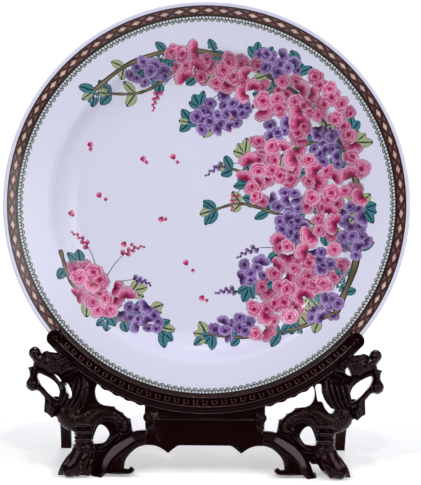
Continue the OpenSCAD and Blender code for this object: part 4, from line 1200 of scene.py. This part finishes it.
# Openings that differ: the left wing's, and the right wing's
SLITS = {-1: ([[113.7, 64.8], [113.9, 69.4], [116, 74.4], [118.6, 76.6], [118.5, 72], [117.2, 68],
               [115.6, 64.6]],
              [[129.4, 84.4], [126, 82.6], [122.8, 78.6], [124.4, 78.2], [127, 81.4]]),
         1: ([[94.6, 76.4], [99.6, 77.2], [100.4, 70.4], [103.8, 62.6], [107.6, 57.8], [110.6, 56],
              [108.6, 52.4], [105.8, 52.8], [102.8, 57], [100.4, 62.4], [96.8, 63], [95.4, 69.5]],
             [[121.6, 92.2], [124.8, 85.4], [121.4, 86.2], [119.6, 88.4]])}

# The melted skin's fineness, and how far inside the rail's outer edge the wings may reach
VOXEL = 0.6
WING_REACH_IN = 2.5

# The front of the wing's board, and how far forward and back the slits' cuts reach
BOARD_FRONT = -1.5
CUT_REACH = 60


def arc(centre, r, start, end, steps):
    """Points on a circle round the centre, from one angle in degrees to another."""
    a = np.radians(np.linspace(start, end, steps + 1))
    return np.array(centre) + r * np.stack([np.cos(a), np.sin(a)], -1)


def wing_outline(side):
    """Edge of the wing from the rail's end round the head, down to the paw and back by the leg."""
    foot = [[92, -8]] if side < 0 else smooth([[112, -8], [106, -0.5], [101, 4], [97.6, 8.6], [92, 9]], 4)
    return np.vstack([
        [[90, 76.5], [118, 106]],
        smooth([[122, 99.8], [126, 100.8], [131, 101], [135, 104], [138, 103.2], [141, 100.5]], 4),
        arc([146, 102], 5.3, 165, -35, 12),
        smooth([[147.2, 94.6], [145.6, 92], [147.4, 90], [151.4, 89.2]], 3),
        [[150.4, 86.2], [150.2, 82.6]],
        arc([147.6, 75.4], 5.7, 50, -110, 12),
        smooth([[142, 70], [139, 68], [137.6, 64.5], [137, 58], [137.8, 52]], 3),
        [[134.4, 50.2], [131, 46.6]],
        smooth([[127.5, 48.4], [124, 47.5], [118.5, 43.5], [113.5, 38.4], [111.2, 34]], 3),
        smooth([[110.8, 22.5], [114.4, 18], [118, 13.6], [121.4, 8.4], [124.2, 2.4], [125, -2],
                [124, -8]], 3),
        foot, [[84, 18], [72, 25], [60, 34]],
        smooth([[62, 37], [63.6, 46.8]], 2), smooth([[66, 47.4], [68.8, 49.2], [69.8, 51.8]], 2),
        smooth([[73, 52.6], [76, 54.4], [77.2, 57]], 2),
        smooth([[82, 57.2], [87, 57.8], [91, 60.6], [93.4, 65], [94, 71], [92.4, 76]], 3)])


def dragon_parts(side):
    """All the shapes that one wing is melted from."""
    parts = [strand(rows, kind=CARVED.get(name, "plain")) for name, rows in WING.items()]
    parts += [ball(*sizes) for sizes in BALLS]
    parts += [strand(rows, kind="hair") for rows in LOCKS]
    # The mane falls in five long locks side by side
    for i in range(5):
        s = i * 4.1
        parts.append(strand([[103.5 + s, 82 - i * 0.6, 1.4, 4, -4.5], [104 + s, 72 + i * 1.2, 1.9, 6, -7.5],
                             [108.2 + s * 0.9, 61.3 + i * 1.4, 1.8, 6, -8.5],
                             [115 + s * 0.6, 51.6 + i * 2, 0.7, 3, -6]], kind="hair"))
    # Down the shin, beads with a band across behind each
    for h in 41 - 6.4 * np.arange(4):
        parts.append(ball(103.5, h, 2.8, -9.4, 3.4))
        parts.append(strand([[97.2, h, 2.4, 4, -6], [103.5, h + 0.4, 2.8, 4.4, -8], [109.8, h, 2.4, 4, -6]]))
    parts += [claw(rows) for rows in TOES]
    if side < 0:
        parts.append(claw(INNER_TOE))
    parts.append(board([wing_outline(side), loop(MOUTH), loop(CROOK)], BOARD_FRONT, FRAME_BACK))
    return parts


def set_up(mesh, points, side):
    """Mirrors points for the left hand, leans them, stops them at the floor and puts them in the mesh."""
    points[:, 0] *= side
    place = leaned(points)
    place[:, 2] = np.maximum(place[:, 2], 0)
    put_points(mesh, place)


def make_dragon(side, hand):
    """One wing: melted and carved, then cut flat at the back of the frame, and pushed out along the plate's
    radius wherever it comes inside the rail's outer edge by more than WING_REACH_IN."""
    parts = dragon_parts(side)
    cuts = [board([loop(slit)], -CUT_REACH, CUT_REACH) for slit in SLITS[side]]
    mesh = fused("dragon_wing_" + hand, parts, VOXEL, cuts)
    points = carve(points_of(mesh), normals_of(mesh), parts)
    points[:, 1] = np.minimum(points[:, 1], FRAME_BACK)
    x, h = points[:, 0], points[:, 2] - PLATE_H
    r = np.hypot(x, h)
    nearest = RAIL_R - WING_REACH_IN
    out = np.where(r < nearest, nearest / r, 1)
    points[:, 0], points[:, 2] = x * out, h * out + PLATE_H
    set_up(mesh, points, side)
    if side < 0:
        mesh.flip_normals()
    add_piece(mesh, BLACK_WOOD, "stand", 60, ["dragon_" + hand])


make_dragon(-1, "left")
make_dragon(1, "right")


# ---- Front legs, and the fret of the rail ----

TOE_HALF_DEPTH = 9.6

# The points of a leg's section that lie on its polished bevel, counted from the inner edge's back
BEVEL_POINTS = (10, 11, 12)


def make_front_leg(side, hand):
    """A cabriole leg between an inner and an outer curve. Across it every section runs from the inner
    edge's back over a rounded corner and the face to a broad bevel down the outer edge, and to that edge's
    back. The corner keeps its size while the leg tapers, and the bevel is never over 0.55 of the width. The
    toe curls in."""
    inner = smooth([[50.1, 24.5], [57, 22.3], [63, 17.5], [67, 12], [68.6, 5], [69, -6]], 9)
    outer = smooth([[50.1, 37], [60, 36], [70, 30.6], [80, 23.4], [89, 12.8], [96, -6]], 9)
    across = outer - inner
    w = np.linalg.norm(across, axis=1, keepdims=True)
    bevel = np.minimum(8.6, w * 0.55)
    zero = np.zeros_like(w)
    crest = w - bevel
    s = np.hstack([zero, zero, zero + 0.5, zero + 1.5, zero + 3.2, w * 0.32, crest - 1.7, crest - 1.1,
                   crest - 0.4, crest, crest + 0.5, w - bevel * 0.5, w - 0.9, w - 0.3, w, w])
    y = np.broadcast_to([FRAME_BACK, -4.2, -5.7, -6.9, -7.6, -7.9, -8.3, -7.6,
                         -7.5, -8.4, -8.6, -6.6, -4.4, -3.4, -1.8, FRAME_BACK], s.shape)
    bevelled = np.isin(np.arange(s.shape[1]), BEVEL_POINTS)
    place = inner[:, None] + (across / w)[:, None] * s[..., None]
    rows = np.stack([place[..., 0], y, place[..., 1]], -1)
    middle = rows.mean(1, keepdims=True) + np.zeros_like(rows)
    grid = np.concatenate([middle[:1], rows, middle[-1:]])
    body = {"points": grid.reshape(-1, 3), "faces": halves(quads(len(grid), s.shape[1], wrap_cols=True))}
    toe = strand([[78, 2.6, 3.6, 8.9, 0], [72, 2.2, 3.0, 8.9, 0], [66, 1.6, 2.6, 8.9, 0],
                  [63, 2.4, 2.6, 8.9, 0], [61.4, 4.4, 2.6, 8.9, 0]], steps=5, sides=24)
    toe["points"][:, 1] = np.clip(toe["points"][:, 1] * 1.25, -TOE_HALF_DEPTH, TOE_HALF_DEPTH)
    mesh = joined([body, toe], "front_leg_" + hand + "_wood")
    polish = np.zeros((len(mesh.vertices), 1))
    polish[:len(body["points"])] = np.tile(bevelled, len(grid))[:, None]
    paint(mesh, polish)
    # The toe's sole rises a little to both sides of its middle
    points = points_of(mesh)
    x, h = points[:, 0], points[:, 2]
    sole = (x > 57) & (x < 87.5) & (h < 1.2)
    points[:, 2] = np.where(sole, np.maximum(h, -0.4 + 0.055 * np.abs(x - 72)), h)
    set_up(mesh, points, side)
    tidy(mesh, 0.001)
    add_piece(mesh, LEG_WOOD, "stand", 32, ["front_leg_" + hand])


# The fret band on the rail: its inner and outer radius, its face's d, how many keys it has, half the arc
# that they cover, and the radius of a key's tube
FRET_IN, FRET_OUT = 166.7, 172.3
FRET_FRONT = 6.4
FRET_KEYS = 33
FRET_ARC = np.radians(44)
FRET_TUBE = 0.66

# Fine lines raised along the rail, as (r, d), half the arc that they cover, and their radius
WIRES = ((165.6, 6.4), (173.5, 6.75), (179.3, 4.3))
WIRE_ARC = np.radians(48.6)
WIRE_TUBE = 0.5

# A closed end of a tube is this share of its size
END_SHARE = 0.02


def rail_wire(r, front):
    """A thin round line along the rail at distance r from the plate's middle, its ends sunk in the wood: a
    circle of radius WIRE_TUBE across the line, swept along the rail's arc."""
    steps, sides = 240, 8
    a = np.linspace(-WIRE_ARC, WIRE_ARC, steps)[:, None]
    f = 2 * np.pi * np.arange(sides) / sides
    size = WIRE_TUBE * np.where(np.arange(steps) % (steps - 1) == 0, END_SHARE, 1)[:, None]
    points = turned(r + size * np.cos(f), front - 0.3 + size * np.sin(f), a)
    return points.reshape(-1, 3), quads(steps, sides, wrap_cols=True)


def make_fret():
    """Hooked keys in relief along the rail, between fine raised lines. A key is a tube round a path of four
    straight runs: outwards, along the rail, inwards, and part of the way back. A length along the rail is
    turned into an angle by dividing it by r."""
    sides = 8
    key = FRET_OUT - FRET_IN - 1.4
    hook = np.array([[0.2, 0], [key, 0], [key, key * 0.86], [key * 0.36, key * 0.86],
                     [key * 0.36, key * 0.42]])
    hook = np.vstack([np.linspace(a, b, 5)[:-1] for a, b in zip(hook[:-1], hook[1:])] + [hook[-1:]])
    ahead = np.gradient(hook, axis=0)
    ahead /= np.linalg.norm(ahead, axis=1, keepdims=True)
    f = 2 * np.pi * np.arange(sides) / sides
    size = np.concatenate([[END_SHARE], np.ones(len(hook) - 2), [END_SHARE]])[:, None] * FRET_TUBE
    outwards = hook[:, :1] - ahead[:, 1:] * np.cos(f) * size
    along = hook[:, 1:] + ahead[:, :1] * np.cos(f) * size
    r = FRET_IN + 0.6 + outwards
    d = FRET_FRONT - 0.75 + np.sin(f) * size * 1.7
    a = np.linspace(-FRET_ARC, FRET_ARC, FRET_KEYS)[:, None, None] + (along - key * 0.43) / r
    keys = turned(r, d, a)
    parts = [(keys.reshape(-1, 3), repeated(quads(*r.shape, wrap_cols=True), r.size, FRET_KEYS))]
    parts += [rail_wire(*place) for place in WIRES]
    points, faces = stacked(parts)
    mesh = new_mesh("rail_fret", leaned(points), faces)
    tidy(mesh, 0.02)
    # The keys and lines take the lighter stain, a painted highlight
    add_piece(mesh, FRET_WOOD, "stand", 60)


make_front_leg(-1, "left")
make_front_leg(1, "right")
make_fret()


# ---- Pieces of the source that keep their shape: dowels, pins and screws ----

for node_name, material, slot_name in (
        ("back_rail_dowels", RED_WOOD, "rosewood_red"),
        ("hinge_pin_left", BRASS, "brass"),
        ("hinge_pin_right", BRASS, "brass"),
        ("upright_screws", STEEL, "steel"),
        ("hinge_screws", STEEL, "steel")):
    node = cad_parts[node_name]
    node.data.materials.clear()
    node.data.materials.append(material)


# ---- Floor, light and camera ----

PANEL_TINT = (0.90, 0.88, 1.0)

# The floor's rings by their radius: the first closes its middle, and the last is past the view's edge
FLOOR_RINGS = (0.001, 1, 60, 16000)


def make_floor():
    """A pale disc of rings that the part stands on, wide enough to fill the view. To the camera, and in
    gloss and glass, it also glows a little, so that it shows as white."""
    steps = 64
    a = np.linspace(0, 2 * np.pi, steps, endpoint=False)
    r = np.array(FLOOR_RINGS)[:, None]
    points = np.stack([r * np.cos(a), r * np.sin(a), np.zeros((len(r), steps))], -1)
    mesh = new_mesh("floor", points, quads(len(r), steps, wrap_cols=True))
    f = Finish("pale_floor")
    f.set(Base_Color=(0.76, 0.76, 0.76, 1), Roughness=0.9, Specular_IOR_Level=0.1)
    rays = f.node("ShaderNodeLightPath")
    seen = f.math("MAXIMUM", rays.outputs["Is Camera Ray"], rays.outputs["Is Glossy Ray"])
    seen = f.math("MAXIMUM", seen, rays.outputs["Is Transmission Ray"])
    f.set(Emission_Color=(1, 1, 1, 1), Emission_Strength=f.math("MULTIPLY", seen, 0.36))
    mesh.materials.append(f.material)
    floor = bpy.data.objects.new("floor", mesh)
    bpy.context.scene.collection.objects.link(floor)


def make_sun(name, azimuth, elevation, strength, spread, colour=(1, 1, 1)):
    """A soft lamp far away in a direction: azimuth turns from the front towards the right."""
    light = bpy.data.lights.new(name, "SUN")
    light.energy = strength
    light.angle = np.radians(spread)
    light.color = colour
    lamp = bpy.data.objects.new(name, light)
    lamp.rotation_euler = (np.radians(90 - elevation), 0, np.radians(azimuth))
    bpy.context.scene.collection.objects.link(lamp)


def make_light():
    """A dim dome, brighter overhead, with a broad soft panel on each side, a window's light from low in
    front, three small lamps for sparkle, and a soft one behind for the plate's back."""
    world = bpy.data.worlds.new("room")
    world.use_nodes = True
    tree = world.node_tree
    axes = tree.nodes.new("ShaderNodeSeparateXYZ")
    tone = tree.nodes.new("ShaderNodeMapRange")
    tone.inputs["From Max"].default_value = 0.9
    tone.inputs["To Min"].default_value = 0.04
    tone.inputs["To Max"].default_value = 0.20
    tree.links.new(tree.nodes.new("ShaderNodeTexCoord").outputs["Generated"], axes.inputs["Vector"])
    tree.links.new(axes.outputs["Z"], tone.inputs["Value"])
    tree.links.new(tone.outputs["Result"], tree.nodes["Background"].inputs["Strength"])
    tree.nodes["Background"].inputs["Color"].default_value = (0.97, 0.96, 1.0, 1)
    bpy.context.scene.world = world
    make_sun("left_panel", -66, 40, 1.15, 38, PANEL_TINT)
    make_sun("right_panel", 66, 40, 1.35, 38, PANEL_TINT)
    make_sun("window", 26, 17, 0.45, 18)
    make_sun("key", -32, 42, 0.50, 2)
    make_sun("fill", 40, 36, 0.25, 2)
    make_sun("top", 6, 72, 0.34, 2)
    make_sun("behind", 176, 46, 0.80, 14)


def make_camera():
    """A long lens two metres away, a little left of the middle and 10 degrees up, aimed below the plate's
    middle. The lens's length is its sensor's width times the distance over the width of the view."""
    azimuth, elevation, roll = np.radians([-1.0, 10.0, 0.75])
    distance, view_width = 2000.0, 361.5
    aim_right, aim_below = 3.1, 32.9
    level = np.cos(elevation)
    back = np.array([np.sin(azimuth) * level, -np.cos(azimuth) * level, np.sin(elevation)])
    right = np.array([np.cos(azimuth), np.sin(azimuth), 0])
    up = np.cross(back, right)
    right, up = right * np.cos(roll) + up * np.sin(roll), up * np.cos(roll) - right * np.sin(roll)
    middle = leaned([0, 0, PLATE_H])
    aim = middle + right * aim_right - up * aim_below
    lens = bpy.data.cameras.new("camera")
    lens.sensor_fit = "HORIZONTAL"
    lens.lens = lens.sensor_width * distance / view_width
    lens.clip_end = 100
    camera = bpy.data.objects.new("camera", lens)
    turn = np.stack([right, up, back], -1)
    place = np.eye(4)
    place[:3, :3] = turn
    place[:3, 3] = (aim + back * distance) * MM
    camera.matrix_world = Matrix(place.tolist())
    bpy.context.scene.collection.objects.link(camera)
    bpy.context.scene.camera = camera


make_floor()
make_light()
make_camera()
bpy.context.scene.view_settings.view_transform = "Standard"
